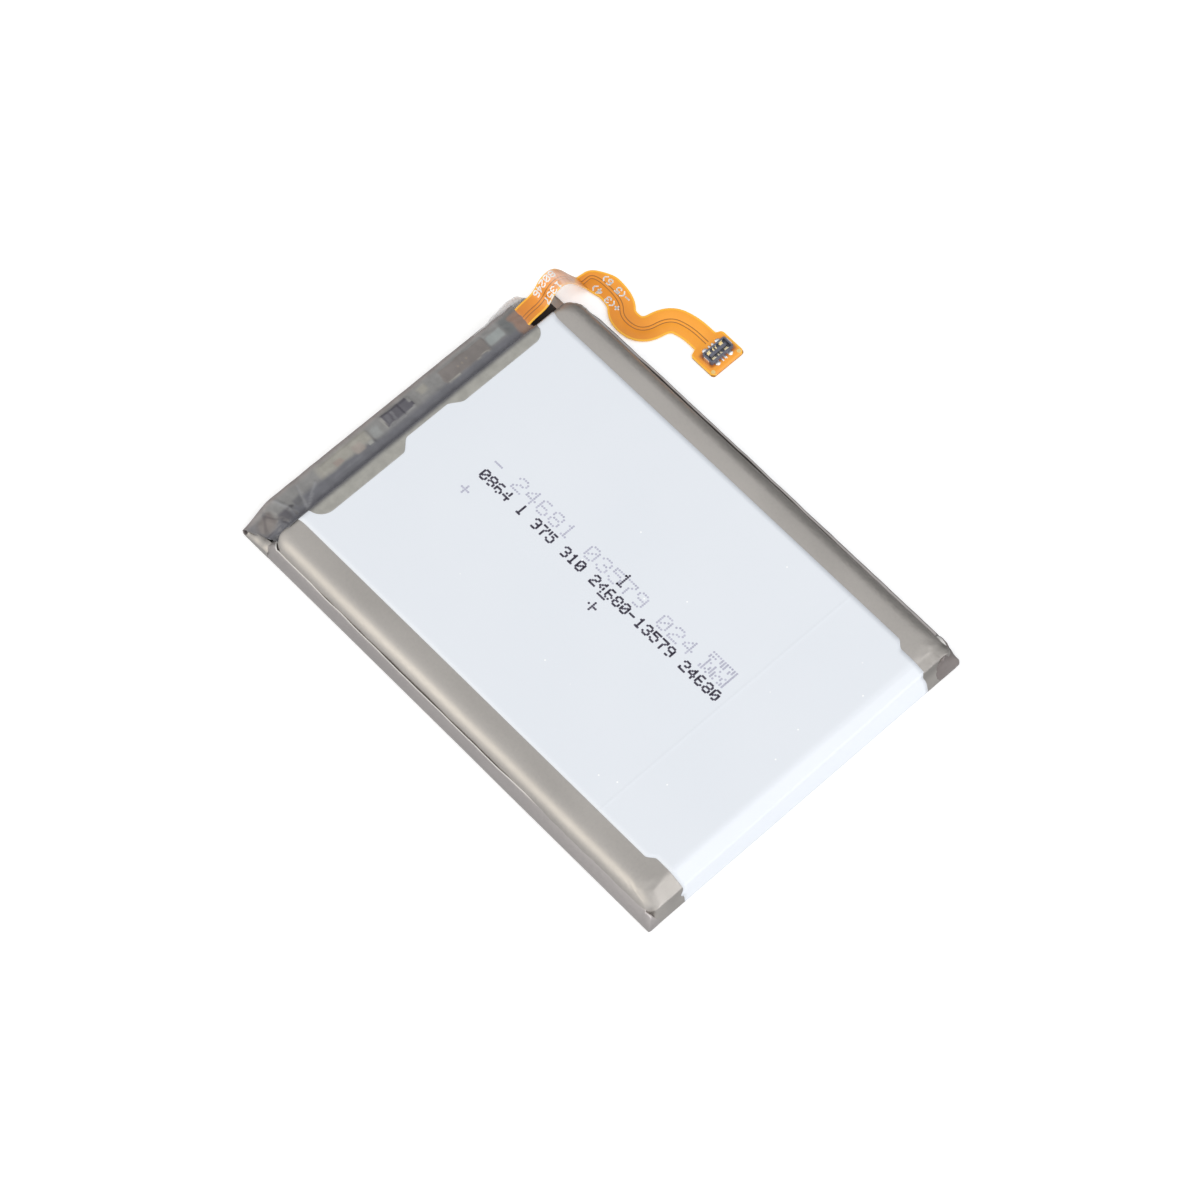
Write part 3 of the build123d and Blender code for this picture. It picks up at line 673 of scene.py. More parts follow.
def inner_edge(index):
    """The circuit's right-hand edge, which runs straight across the corner after the arm."""
    distance = flex_distance[index]
    if corner_start < distance < corner_end:
        first = index_at(corner_start)
        last = index_at(corner_end)
        share = (distance - flex_distance[first]) / (flex_distance[last] - flex_distance[first])
        low, high = (edge_across(end, -1, inner_reach) for end in (first, last))
        flat = low.lerp(high, share)
        return Vector((flat.x, flat.y, flex_line[index].z))
    return edge_across(index, -1, inner_reach)


# what lies across one half of the circuit, by its distance from the middle or from the edge
GAP, COPPER, BARE_FILM = 0, 1, 2
trace_bands = [(0.12, COPPER), (0.15, GAP), (0.25, GAP), (0.28, COPPER)]
border_bands = [(0.26, COPPER), (0.18, BARE_FILM), (0.04, BARE_FILM), (0.0, BARE_FILM)]
copper_relief = 0.008
gap_end = 35.3  # the gaps stop in front of the connector


def half_section(middle, edge):
    """Points from the circuit's middle line to one edge, each with what lies there."""
    reach = (edge - middle).length
    outwards = (edge - middle) / reach
    places = trace_bands + [(reach - inset, layer) for inset, layer in border_bands]
    return [(middle + outwards * place, layer) for place, layer in places]


def flex_section(index):
    """Points across the circuit's outer face, and what lies at each."""
    middle, left, outward = flex_frame(index)
    right_half = half_section(middle, inner_edge(index))
    left_half = half_section(middle, edge_across(index, 1, outer_reach))
    section = [*reversed(left_half), (middle, COPPER), *right_half]
    points = []
    layers = []
    for point, layer in section:
        sunk = 0 if layer == COPPER else copper_relief
        points.append(point + outward * (half_stack - sunk))
        layers.append(max(layer, COPPER) if flex_distance[index] > gap_end else layer)
    return points, layers


flex_rows = []
flex_layers = []
for index in range(len(flex_line)):
    points, layers = flex_section(index)
    flex_rows.append(points)
    flex_layers += layers

flex = film_piece("flex_ribbon", flex_rows, 2 * half_stack - copper_relief, flex_film)
copper_layer = flex.data.attributes.new("copper", "FLOAT", "POINT")
copper_layer.data.foreach_set("value", flex_layers)
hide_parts("flex_base_film", "flex_coverlay", "flex_conductors")

flex_top = flat_z + half_stack - 0.01  # the solder starts just inside the film
solder_height = 0.15


def solder_domes(name, spots, rings=5, around=14):
    """Domes of solder over the connector's feet: middle, half width and half depth of each."""
    points = []
    faces = []
    for x, y, half_x, half_y in spots:
        start = len(points)
        for ring in range(rings):
            rise = (pi / 2) * ring / rings
            z = flex_top + solder_height * sin(rise)
            for turn in range(around):
                angle = 2 * pi * turn / around
                lump = 1 + 0.08 * sin(3 * angle + x)
                point_x = x + half_x * cos(rise) * cos(angle) * lump
                point_y = y + half_y * cos(rise) * sin(angle) * lump
                points.append(Vector((point_x, point_y, z)))
        top = len(points)
        points.append(Vector((x, y, flex_top + solder_height)))
        faces += grid_faces(rings, around, closed=True, start=start)
        crown = top - around
        for turn in range(around):
            faces.append((crown + turn, crown + (turn + 1) % around, top))
        faces.append(tuple(range(start + around - 1, start - 1, -1)))
    return piece(name, points, faces, looks["tin_solder"])


housing_low, housing_high = corners_mm("connector_housing")
connector_middle = (housing_low + housing_high) / 2
power_foot = (1.0, 0.34, 0.28)  # place beside the middle, half width and half depth
signal_foot = (0.27, 0.13, 0.26)
solder_spots = []
for row_y in (housing_low.y - 0.24, housing_high.y + 0.30):
    for shift, half_x, half_y in (power_foot, signal_foot):
        solder_spots.append((connector_middle.x - shift, row_y, half_x, half_y))
        solder_spots.append((connector_middle.x + shift, row_y, half_x, half_y))
solder = solder_domes("connector_solder", solder_spots)
connector_nodes = ["flex_stiffener", "connector_housing", "connector_power_contacts"]
connector_nodes += ["connector_signal_contacts", "connector_feet", "connector_hold_downs"]


# ---- pouch ----
body_half = 23.42
body_bottom = 0.05
body_top = 4.15
tail_y = -33.675
wall_y = 29.225
foot_radius = 0.15
shoulder_radius = 2.0
header_radius = 0.7
ridge_height = 3.38  # where the tail's leaning end wall meets its slope
ridge_inset = 0.55
slope_inset = 2.4
skin = 0.05


def header_bend(y, radius):
    """Height of a surface that bends over the pouch's rounded header edge."""
    over = max(y - (wall_y - header_radius), 0)
    return body_top - header_radius + (radius**2 - over**2) ** 0.5


def wall_profile(top_corner_points, flat_end):
    """(inset, height) from the foot of a wall, over its top corner to the flat top."""
    foot = rounded_corner((0, body_bottom), (1, body_bottom), (0, 1), foot_radius, 3)
    corner_x, corner_z = top_corner_points[0]
    shares = spread(0, 1, 7)[1:-1]
    wall = [(blend(0, corner_x, share), blend(foot[-1].y, corner_z, share)) for share in shares]
    flat_start = top_corner_points[-1][0]
    flat = [(blend(flat_start, flat_end, share), body_top) for share in (0.3, 0.65, 1)]
    return [tuple(point) for point in [*foot, *wall, *top_corner_points, *flat]]


foot_point = (0, 0)
edge_point = (0, body_top)
ridge_point = (ridge_inset, ridge_height)
crest_point = (slope_inset, body_top)
middle_point = (9, body_top)
shoulder = rounded_corner(edge_point, foot_point, middle_point, shoulder_radius, 15)
head_edge = rounded_corner(edge_point, foot_point, middle_point, header_radius, 15)
ridge = rounded_corner(ridge_point, foot_point, crest_point, 0.45, 7)
crest = rounded_corner(crest_point, ridge_point, middle_point, 2.5, 7)
# each wall's profile, with how far in its flat top reaches
side_profile = wall_profile(shoulder, 3.4)
head_profile = wall_profile(head_edge, 1.6)
tail_profile = wall_profile(ridge + crest, 4.2)


def tail_shaped(point):
    """The ridge of the tail stands higher and further in towards the right."""
    x, y, z = point
    rightward = clamp((x + 7) / 24, -0.6)
    near = ease((z - 0.3) / 3) * ease((-31.3 - y) / 1.6)
    shift = 0.26 * rightward * near
    return Vector((x, y + shift, min(z + shift, body_top + skin)))


def pouch_loop(level):
    """One closed loop of points round the pouch at a level of its four profiles."""
    side_in, side_z = side_profile[level]
    tail_in, tail_z = tail_profile[level]
    head_in, head_z = head_profile[level]
    right = body_half - side_in
    tail = tail_y + tail_in
    head = wall_y - head_in
    tail_round = 0.9 + 1.1 * min(side_in, tail_in)
    head_round = 1.9
    corners = [
        (-right, tail, tail_round, 180, side_z, tail_z),
        (right, tail, tail_round, 270, tail_z, side_z),
        (right, head, head_round, 0, side_z, head_z),
        (-right, head, head_round, 90, head_z, side_z),
    ]
    arcs = []
    for x, y, radius, start, first_z, last_z in corners:
        middle_x = x + radius * (1 if x < 0 else -1)
        middle_y = y + radius * (1 if y < 0 else -1)
        arc = []
        for share in spread(0, 1, 10):
            turn = radians(start + 90 * share)
            height = blend(first_z, last_z, ease(share))
            arc.append((middle_x + radius * cos(turn), middle_y + radius * sin(turn), height))
        arcs.append(arc)
    loop = []
    counts = (60, 90, 60, 90)  # steps along the tail, the right side, the header and the left side
    for arc, following, count in zip(arcs, arcs[1:] + arcs[:1], counts):
        loop += arc
        for share in spread(0, 1, count)[1:-1]:
            loop.append(tuple(blend(a, b, share) for a, b in zip(arc[-1], following[0])))
    return loop


def dented(point):
    """Soft waves along the shoulders, puckered tail corners and the pinched left one."""
    x, y, z = tail_shaped(point)
    depth = 0.05 * (0.5 + ripple(x * 0.15, y * 0.12, z * 0.4)) * hill(z - 3.0, 1.2)
    sideways = -depth if x > 0 else depth
    moved = Vector((x + sideways * hill(abs(x) - 23, 1.5), y, z))
    pucker = 0.16 * ripple(x * 1.1, y * 1.3, 4) * hill(z - 3.6, 1.0)
    moved.z += pucker * hill(hypot(abs(x) - 21.6, y + 31.8), 2.0)
    moved.z = min(moved.z, body_top)
    pinch = hill(hypot(x + 22.9, y + 33.0), 0.5) * hill(z - 2.4, 0.8)
    return moved + Vector((0.35, 0.35, -0.25)) * pinch


loops = [pouch_loop(level) for level in range(len(side_profile))]
pouch_points = [dented(point) for loop in loops for point in loop]
pouch_faces = grid_faces(len(loops), len(loops[0]), closed=True)
pouch_faces.append(tuple(range(len(pouch_points) - len(loops[0]), len(pouch_points))))
pouch = piece("pouch_laminate", pouch_points, pouch_faces, laminate)
thicken(pouch, 0.15)
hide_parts("pouch_front_cup")


# ---- folded side seals ----
cell_half = 24.0
seal_crest_z = 2.76
seal_open_from = -18.0  # further towards the tail the seal lies close against the pouch
drawn_between = 3  # steps between two stations
# the third material is the darker laminate, which paints shade
CUT_EDGE, SHADED = 1, 2  # a seal's second and third material

# closed section of a seal: shares of the way from its outer to its inner face and of its height
seal_outline = [
    *[(0.96, 0.01), (0.31, 0.00), (0.08, 0.02), (0.00, 0.06), (0.04, 0.22)],
    *[(0.17, 0.43), (0.42, 0.69), (0.74, 0.94), (0.84, 0.985), (0.90, 1.00)],
    *[(1.10, 1.00), (1.18, 0.98), (1.00, 0.70), (0.98, 0.36), (0.96, 0.10)],
]
crest_column = 9
# columns of the right seal's edge, which is rolled wider, and how far they move outwards
rolled_columns = {6: 0.12, 7: 0.34, 8: 0.38, 9: 0.30, 10: 0.15, 11: 0.15}


def swept_solid(name, sections, look):
    """A closed solid through a row of closed sections."""
    faces = solid_faces(len(sections), len(sections[0]))
    made = piece(name, sum(sections, []), faces, look)
    even_normals(made)
    return made


def seal_section(station, side, crumple=0.0, roll=0.0):
    """One section of a seal on a side of the cell, between its outer and inner place in plan."""
    outer_x, outer_y, inner_x, inner_y, crest = station
    section = []
    for column, (share, level) in enumerate(seal_outline):
        share -= rolled_columns.get(column, 0) * roll
        x = blend(outer_x, inner_x, share)
        y = blend(outer_y, inner_y, share)
        z = crest * level
        if crumple:
            shift = noise.noise_vector(Vector((x * 2.2, y * 2.2, z * 1.6))) * crumple * ease(z / 0.5)
            x, y, z = x + shift.x, y + shift.y, z + shift.z
        x = side * min(x, cell_half)
        section.append(Vector((x, clamp(y, tail_y - skin, 33.7), max(z, 0))))
    return section if side < 0 else section[::-1]


def seal_straight(y, side):
    """Station of the long straight part of a seal."""
    wave = 0.02 * sin(y * 0.42 + side) + 0.015 * sin(y * 1.1 + 2 * side)
    parted = ease((y + 14) / 10) * ease((20 - y) / 6)
    close = 0.26 * (1 - ease((y + 20) / 10)) if side < 0 else 0
    inner = 23.36 - close + 0.12 * parted + wave * ease((y + 24) / 8)
    inner += (0.07 * hill(y - 19.5, 1.2)) if side < 0 else 0
    crest = seal_crest_z + 0.03 * sin(y * 0.9 + side) + 0.02 * sin(y * 2.3)
    belly = 0.04 * hill(y + 20, 6)
    return cell_half - 0.03 * ease((y + 12) / 10) + belly, y, inner, y, crest


# stations at the seals' ends, tailmost first: outer x and y, inner x and y, height
left_tail = [
    (22.4, -33.70, 22.2, -33.50, 1.15),
    (23.1, -33.72, 22.7, -33.42, 1.50),
    (23.7, -33.72, 22.95, -33.32, 1.85),
    (23.98, -33.66, 23.1, -33.20, 2.15),
    (24.0, -33.35, 23.2, -33.0, 2.40),
    (24.0, -33.0, 23.3, -32.8, 2.60),
    (24.0, -32.6, 23.38, -32.45, 2.72),
]
right_tail = [
    (20.3, -33.62, 20.3, -33.00, 2.2),
    (20.9, -33.68, 20.9, -32.95, 3.0),
    (21.6, -33.72, 21.5, -32.95, 3.5),
    (22.3, -33.72, 22.1, -32.80, 3.55),
    (23.1, -33.72, 22.55, -32.5, 3.35),
    (23.8, -33.68, 22.85, -32.1, 3.0),
    (24.0, -33.40, 23.0, -31.6, 2.8),
    (24.0, -32.6, 23.12, -31.1, 2.9),
    (23.99, -31.6, 23.28, -30.6, 2.9),
    (23.97, -30.6, 23.38, -30.1, 2.8),
]
left_head = [
    (23.97, 28.3, 23.40, 28.2, 2.78),
    (23.97, 28.9, 23.20, 28.6, 2.80),
    (23.97, 29.4, 22.95, 28.9, 2.70),
    (23.97, 29.9, 22.6, 29.1, 2.45),
    (23.97, 30.4, 22.3, 29.3, 2.1),
    (23.95, 30.8, 22.2, 29.9, 1.5),
]
right_head = [
    (23.95, 27.4, 23.42, 27.3, 2.80),
    (23.88, 28.2, 23.22, 28.0, 2.90),
    (23.65, 28.9, 22.9, 28.5, 3.0),
    (23.15, 29.5, 22.5, 28.9, 3.0),
    (22.4, 29.9, 22.0, 29.15, 2.95),
    (21.5, 30.1, 21.4, 29.25, 2.6),
    (20.7, 30.1, 20.7, 29.25, 1.9),
]


def with_between(stations):
    """Stations with more of them drawn in between."""
    filled = []
    for first, last in zip(stations, stations[1:]):
        for share in spread(0, 1, drawn_between)[:-1]:
            filled.append(tuple(blend(a, b, share) for a, b in zip(first, last)))
    return filled + [stations[-1]]


def paint_left_seal(seal):
    """Bare metal shows along the cut edge, as far as the seal stands open."""
    for index, polygon in enumerate(seal.data.polygons):
        on_crest = index % len(seal_outline) == crest_column
        if on_crest and polygon.center.y > seal_open_from * MM:
            polygon.material_index = CUT_EDGE


def paint_right_seal(seal, tail_rows, head_row):
    """The gathered ends and the inside of the rolled edge get the darker laminate as painted shade;
    the ear's edge is bare.
    """
    size = len(seal_outline)
    crest = size - 2 - crest_column
    for index, polygon in enumerate(seal.data.polygons):
        row, column = divmod(index, size)
        gathered = row < tail_rows or row > head_row
        if column == crest and 3 * drawn_between < row < tail_rows:
            polygon.material_index = CUT_EDGE
        elif gathered or column in (crest + 1, crest + 2):
            polygon.material_index = SHADED


def side_seal(name, side, node, tail_stations, head_stations, crumple):
    """A seal folded up along a side, with its gathered ends round the corners."""
    tail_end = with_between(tail_stations)
    head_end = with_between(head_stations)
    sections = []
    for index, station in enumerate(tail_end):
        roll = ease(2 * index / len(tail_end) - 0.8) if side > 0 else 0
        sections.append(seal_section(station, side, crumple, roll))
    for y in spread(tail_stations[-1][1] + 0.3, head_stations[0][1] - 0.3, 190):
        roll = ease((27 - y) / 2) if side > 0 else 0
        sections.append(seal_section(seal_straight(y, side), side, roll=roll))
    for station in head_end:
        sections.append(seal_section(station, side, crumple * 0.6))
    seal = swept_solid(name, sections, seal_laminate)
    seal.data.materials.append(cut_edge)
    seal.data.materials.append(shaded_laminate)
    if side < 0:
        paint_left_seal(seal)
    else:
        paint_right_seal(seal, len(tail_end) - 1, len(sections) - len(head_end) + 1)
    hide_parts(node, "tail_corner_ears")


side_seal("seal_fold_left", -1, "side_seal_left", left_tail, left_head, 0.05)
side_seal("seal_fold_right", 1, "side_seal_right", right_tail, right_head, 0.11)


# ---- terrace at the header ----
terrace_left = -23.96
terrace_right = 22.97
terrace_top = 0.35
# painted shadow: the terrace's top is black under the flex circuit, where it lies in shade
shadow_from, shadow_to = 12, 21.6  # black under the flex circuit


def terrace_row(y):
    """A section of the sealed laminate under the header, turned up at its left edge.

    The turned-up edge stands lower towards the front and leans in towards the pouch.
    """
    rise = blend(1.8, 1.15, ease((y - 30) / 3)) + 0.06 * sin(y * 3)
    foot = max(rise - 0.75, 0.08)
    lean = 0.4 * ease((32.8 - y) / 2.8)
    turned_up = [(terrace_left, foot), (-23.94, foot + 0.05), (lean - 23.35, rise)]
    turned_up += [(lean - 23.25, rise - 0.1), (lean - 23.2, 0.45), (lean - 23.0, 0.36)]
    top = [(x, terrace_top) for x in spread(lean - 22.8, 22.6, 60)]
    right_edge = [(22.9, 0.33), (terrace_right, 0.27), (terrace_right, 0.06), (22.9, 0.0)]
    bottom = [(x, 0.0) for x in spread(22.6, -23.4, 60)] + [(-23.9, 0.0), (terrace_left, 0.05)]
    return [Vector((x, y, z)) for x, z in turned_up + top + right_edge + bottom]


terrace_rows = [terrace_row(y) for y in spread(29.3, 33.05, 24)]
terrace = swept_solid("header_terrace", terrace_rows, laminate)
terrace.data.materials.append(looks["painted_shadow_black"])
for polygon in terrace.data.polygons:
    if shadow_from < polygon.center.x / MM < shadow_to and polygon.normal.z > 0.9:
        polygon.material_index = 1
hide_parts("pouch_front_cup")


# ---- label film ----
label_left = -19.3
label_right = 19.6
label_step = 0.75


def label_path():
    """(y, z) of the label film's outer face from the back, up the tail and to the header."""
    bottom = body_bottom - skin
    top = body_top + skin
    tail = tail_y - skin
    back = [(y, bottom) for y in spread(26.2, tail + 1.0, 60)]
    foot = rounded_corner((tail, bottom), (0, bottom), (tail, 1), foot_radius + skin, 5)
    low = Vector((tail + ridge_inset, ridge_height + skin))
    high = Vector((tail + slope_inset, top))
    over_ridge = rounded_corner(low, (tail, 0), high, 0.5, 8)
    over_crest = rounded_corner(high, low, (0, top), 2.55, 8)
    rise = [foot[-1].lerp(over_ridge[0], share) for share in spread(0, 1, 12)[1:-1]]
    flat = [
        (y, header_bend(y, header_radius + skin))
        for y in spread(over_crest[-1][0] + 0.25, wall_y - 0.05, 240)
    ]
    return [tuple(point) for point in [*back, *foot, *rise, *over_ridge, *over_crest, *flat]]


def label_edges(y, z):
    """x of the label's left and right edge at a place on its path."""
    step = label_step * ease((-28.0 - y) / 1.2)
    head = ease((y - 27.8) / 1.4) if z > 2 else 0
    on_end = y < tail_y + 0.6 and z > 0.1
    left_notch = 0.42 * hill(z - 2.1, 0.45) if on_end else 0
    right_notch = 0.3 * hill(z - 2.9, 0.7) if on_end else 0
    left = label_left + step - 0.12 * head - left_notch
    right = label_right - step + 0.3 * head - right_notch
    return left, right


label_rows = []
for y, z in label_path():
    left, right = label_edges(y, z)
    label_rows.append([tail_shaped((x, y, z)) for x in spread(left, right, 60)])
label = film_piece("label_sheet", label_rows, skin, label_white)
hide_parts("label_film")


# ---- header tape ----
tape_right = 17.3
tape_left = -23.95
tape_outer = 33.725
shelf_z = 3.08  # height over the protection board


def flap_edge(x):
    """y where the tape's end lies on the label, shorter over its middle and rounded at its ends."""
    middle = 1.3 * (ease((x + 5.2) / 1.9) - ease((x - 2.6) / 2.2))
    edge = 27.05 + 0.3 * ease((x - 3) / 2) + middle
    rounded = 2.0 * quarter_round((-15.7 - x) / 2.1) + 1.7 * quarter_round((x - 15.6) / 1.7)
    return min(edge + rounded, 29.0)


def soft_box(x, y, low_x, high_x, low_y, high_y, soft):
    """1 inside a rectangle, easing to 0 over a soft border."""
    inside_x = ease((x - low_x) / soft + 0.5) * ease((high_x - x) / soft + 0.5)
    inside_y = ease((y - low_y) / soft + 0.5) * ease((high_y - y) / soft + 0.5)
    return inside_x * inside_y


tall_parts = ("dual_mosfet", "protection_ic", "chip_capacitors", "sense_resistor", "chip_fuse")
part_boxes = [corners_mm(node) for node in tall_parts]
plate_boxes = [corners_mm("positive_weld_plate"), corners_mm("negative_weld_plate")]


def under_tape(x, y):
    """How high the parts under the tape push it up, above its slack height."""
    height = 0.0
    for low, high in part_boxes:
        box = soft_box(x, y, low.x - 0.1, high.x + 0.1, low.y - 0.1, high.y + 0.1, 0.5)
        height = max(height, (high.z - 2.98) * box)
    for low, high in plate_boxes:
        height = max(height, 0.08 * soft_box(x, y, low.x, high.x, low.y - 0.1, high.y + 0.1, 0.3))
    return height


def end_droop(x):
    """The tape sinks towards its left end, where nothing stands under it."""
    return ease((-19.6 - x) / 4.6)


def shoulder_drop(x):
    """How far the pouch's left shoulder has fallen below its top."""
    return 2.0 * quarter_round(min((-21.2 - x) / 2.2, 0.97))


def tape_row_path(x):
    """(y, z) of the tape's outer face at x, from its end on the label to its end underneath.

    It goes over the pouch's edge, down into the valley behind it, out over the level shelf of
    the board and down the header's face. Each height is blended to its height at the left end.
    """
    droop = end_droop(x)
    shelf = blend(shelf_z, 1.35, droop)
    outer_y = tape_outer - 0.02 - 0.15 * droop
    valley_z = blend(2.98, 1.9, droop)
    flap_z = 4.25 - shoulder_drop(x)
    flap_start = flap_edge(x) - 0.25 * droop
    flap = [
        (y, header_bend(y, header_radius + 2 * skin) - shoulder_drop(x))
        for y in spread(flap_start, wall_y + 0.03, 16)
    ]
    valley = [
        (29.42, min(blend(3.45, 3.2, droop), flap_z - 0.7)),
        (29.58, min(blend(3.18, 2.8, droop), flap_z - 0.9)),
        (29.78, blend(valley_z + 0.04, 2.35, droop)),
        (30.02, valley_z),
        (30.28, valley_z),
        (30.52, blend(valley_z + 0.05, 1.7, droop)),
    ]
    flat = [(y, shelf + under_tape(x, y) * (1 - droop)) for y in spread(30.75, outer_y - 0.8, 16)]
    outer = rounded_corner((outer_y, shelf), (32, shelf), (outer_y, 0), 0.6, 8)
    foot_z = blend(0.5, 0.75, droop)
    face = [(outer_y - 0.03 + 0.03 * sin(z * 3), z) for z in spread(shelf - 0.75, foot_z, 8)]
    under = rounded_corner((outer_y, 0), (outer_y, 2), (0, 0), 0.4, 5)
    back = [(y, 0.0) for y in spread(33.1, 29.4, 10)]
    return [*flap, *valley, *flat, *outer, *face, *under, *back]


def crease(x, y, first, last, width):
    """1 on the line between two points of the plan, easing to 0 over a width."""
    start = Vector(first)
    run = Vector(last) - start
    spot = Vector((x, y)) - start
    share = clamp(spot.dot(run) / run.length_squared)
    return hill((spot - run * share).length, width)


# creases of the tape in plan: ends, width and height
tape_creases = [
    ((-17.9, 29.3), (-14.6, 31.6), 0.20, 0.12),
    ((-17.4, 29.9), (-16.4, 32.6), 0.20, -0.08),
    ((-18.6, 30.2), (-19.6, 32.9), 0.30, 0.12),
    ((-20.4, 29.9), (-21.5, 32.6), 0.25, -0.12),
    ((-22.0, 30.1), (-20.6, 31.6), 0.30, 0.10),
    ((-23.2, 31.4), (-21.6, 32.9), 0.22, 0.10),
    ((12.2, 32.6), (17.2, 31.5), 0.25, 0.05),
]


def tape_point(x, y, z):
    """A point of the wrinkled tape, drawn in where its left end follows the pouch's corner."""
    free = ease((y - 29.4) / 0.6) * ease((z - 0.2) / 0.6)
    height = 0.05 * ripple(x * 0.7, y * 0.9, z * 0.5) + 0.06 * ripple(x * 0.35, 0, 7)
    for first, last, width, rise in tape_creases:
        height += rise * crease(x, y, first, last, width)
    draw_in = 1.5 * clamp((33.4 - y) / 4.3) * ease((-18.5 - x) / 5.4)
    jag = 0.2 * ripple(0, y * 3, 3) * ease((-23.0 - x) / 0.9)
    shifted = x + (draw_in + jag) * (1 if z > 0.3 else 0)
    return Vector((max(shifted, tape_left), min(y, tape_outer), max(z + height * free, 0)))


# what shows through the shelf, and painted shade at the crumpled left end: x and y extents, softness
# of the border, and colour
through_light = (0.31, 0.295, 0.26)
through_pale = (0.33, 0.33, 0.31)
through_dark = (0.085, 0.08, 0.095)
through_brown = (0.175, 0.155, 0.145)
shelf_patches = [
    (-13.6, -6.1, 31.25, 32.9, 0.8, through_light),
    (-11.6, -10.4, 31.3, 32.0, 0.3, (0.30, 0.25, 0.22)),
    (-8.7, -7.4, 30.9, 32.1, 0.5, (0.32, 0.28, 0.25)),
    (-6.9, -6.2, 30.8, 31.3, 0.2, through_pale),
    (-5.7, -4.6, 31.0, 32.4, 0.5, (0.26, 0.265, 0.26)),
    (-3.75, 0.1, 31.15, 32.75, 0.12, through_dark),
    (-0.2, 0.5, 31.3, 31.9, 0.12, through_dark),
    (-3.4, -2.8, 31.3, 32.5, 0.15, (0.13, 0.125, 0.14)),
    (-2.5, -2.2, 31.3, 32.5, 0.12, (0.15, 0.145, 0.16)),
    (1.8, 3.0, 31.7, 32.7, 0.6, through_light),
    (5.0, 11.7, 30.75, 32.6, 0.14, through_brown),
    (5.2, 7.0, 30.72, 30.82, 0.1, through_light),
    (9.6, 11.4, 30.75, 30.85, 0.1, through_light),
    (12.0, 14.2, 31.0, 32.2, 0.35, (0.29, 0.31, 0.305)),
    (14.4, 17.4, 30.6, 33.0, 0.8, (0.125, 0.13, 0.13)),
    (15.7, 17.6, 29.6, 32.6, 0.5, (0.25, 0.16, 0.12)),
    # painted shade: the seven patches below darken the creases and folds of the crumpled left end;
    # the first is black where a crease opens at the pouch's edge
    (-18.02, -17.74, 29.12, 29.4, 0.1, (0.01, 0.01, 0.01)),
    (-18.9, -18.6, 29.9, 31.4, 0.15, (0.06, 0.055, 0.06)),
    (-19.3, -18.3, 31.0, 31.3, 0.2, (0.07, 0.065, 0.07)),
    (-20.9, -19.3, 30.0, 31.4, 0.5, (0.075, 0.07, 0.08)),
    (-22.9, -21.0, 31.0, 32.7, 0.7, (0.085, 0.07, 0.07)),
    (-18.1, -16.9, 30.3, 31.6, 0.5, (0.11, 0.108, 0.115)),
    (-23.5, -21.6, 30.8, 32.2, 1.0, (0.15, 0.13, 0.125)),
]
weld_dots = [(7.4, 31.6), (8.1, 31.7), (8.8, 31.75)]
weld_colour = Vector((0.33, 0.27, 0.2))
tape_on_label = Vector((0.325, 0.315, 0.285))
# painted shade: the tape is darker along the valley behind the pouch's edge
tape_in_valley_shade = Vector((0.122, 0.122, 0.138))
tape_on_shelf = Vector((0.215, 0.21, 0.205))
tape_at_left_end = Vector((0.15, 0.145, 0.152))
tape_rim = Vector((0.29, 0.25, 0.24))
crease_glare = Vector((0.27, 0.27, 0.28))


def seen_through_and_painted_light(x, y, droop):
    """Colour of the tape at a place: what lies under it, with painted shade in the valley and at the
    crumpled left end, and painted glare on three creases.
    """
    shelf = tape_on_shelf.lerp(tape_at_left_end, droop)
    colour = tape_on_label.lerp(tape_in_valley_shade, ease((y - 28.3) / 0.9))
    valley_end = 30.4 + 0.5 * ease((-5 - x) / 3) * ease((x + 19) / 2)
    colour = colour.lerp(shelf, ease((y - valley_end) / 0.9))
    x += 0.22 * ripple(x * 0.9, y * 1.1, 5)
    y += 0.14 * ripple(x * 0.8, y * 1.3, 9)
    for low_x, high_x, low_y, high_y, soft, patch in shelf_patches:
        colour = colour.lerp(Vector(patch), soft_box(x, y, low_x, high_x, low_y, high_y, soft))
    for dot_x, dot_y in weld_dots:
        colour = colour.lerp(weld_colour, 0.8 * hill(hypot(x - dot_x, y - dot_y), 0.1))
    # painted glare: the tape is lighter along the first three creases
    for first, last, width, rise in tape_creases[:3]:
        colour = colour.lerp(crease_glare, 0.5 * crease(x, y, first, last, width * 0.8))
    return colour.lerp(tape_rim, 0.8 * ease((y - 32.7) / 0.8))


tape_rows = []
tape_colours = []
for x in spread(tape_right, tape_left, 330):
    path = tape_row_path(x)
    tape_rows.append([tape_point(x, y, z) for y, z in path])
    for y, z in path:
        tape_colours += [*seen_through_and_painted_light(x, y, end_droop(x)), 1.0]
header = film_piece("header_tape_sheet", tape_rows, skin, header_tape_grey)
colour_layer = header.data.attributes.new("seen_through_and_painted_light", "FLOAT_COLOR", "POINT")
colour_layer.data.foreach_set("color", tape_colours)
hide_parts("header_tape", "header_tape_flap", "header_end_tape")


# ---- torn tape behind the flex circuit ----
def edge_tape_row(x):
    """A section of the torn strip, which stands up behind the flex circuit and leans inwards."""
    standing = 3.05 + 1.6 * ease((x - 11.5) / 5)
    top = standing * (1 - 0.9 * ease((x - 17.6) / 3.6)) + 0.04 * sin(x * 5)
    lean = 0.35 * ease((x - 17.4) / 2)
    return [
        Vector((x, 33.38 - lean * (z / 3) ** 2 + 0.04 * sin(x * 2.5 + z), z))
        for z in spread(0.05, top, 14)
    ]


edge_rows = [edge_tape_row(x) for x in spread(11.4, 21.76, 130)]
edge_sheet = film_piece("edge_tape_sheet", edge_rows, skin, clear_tape)
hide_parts("edge_tape")


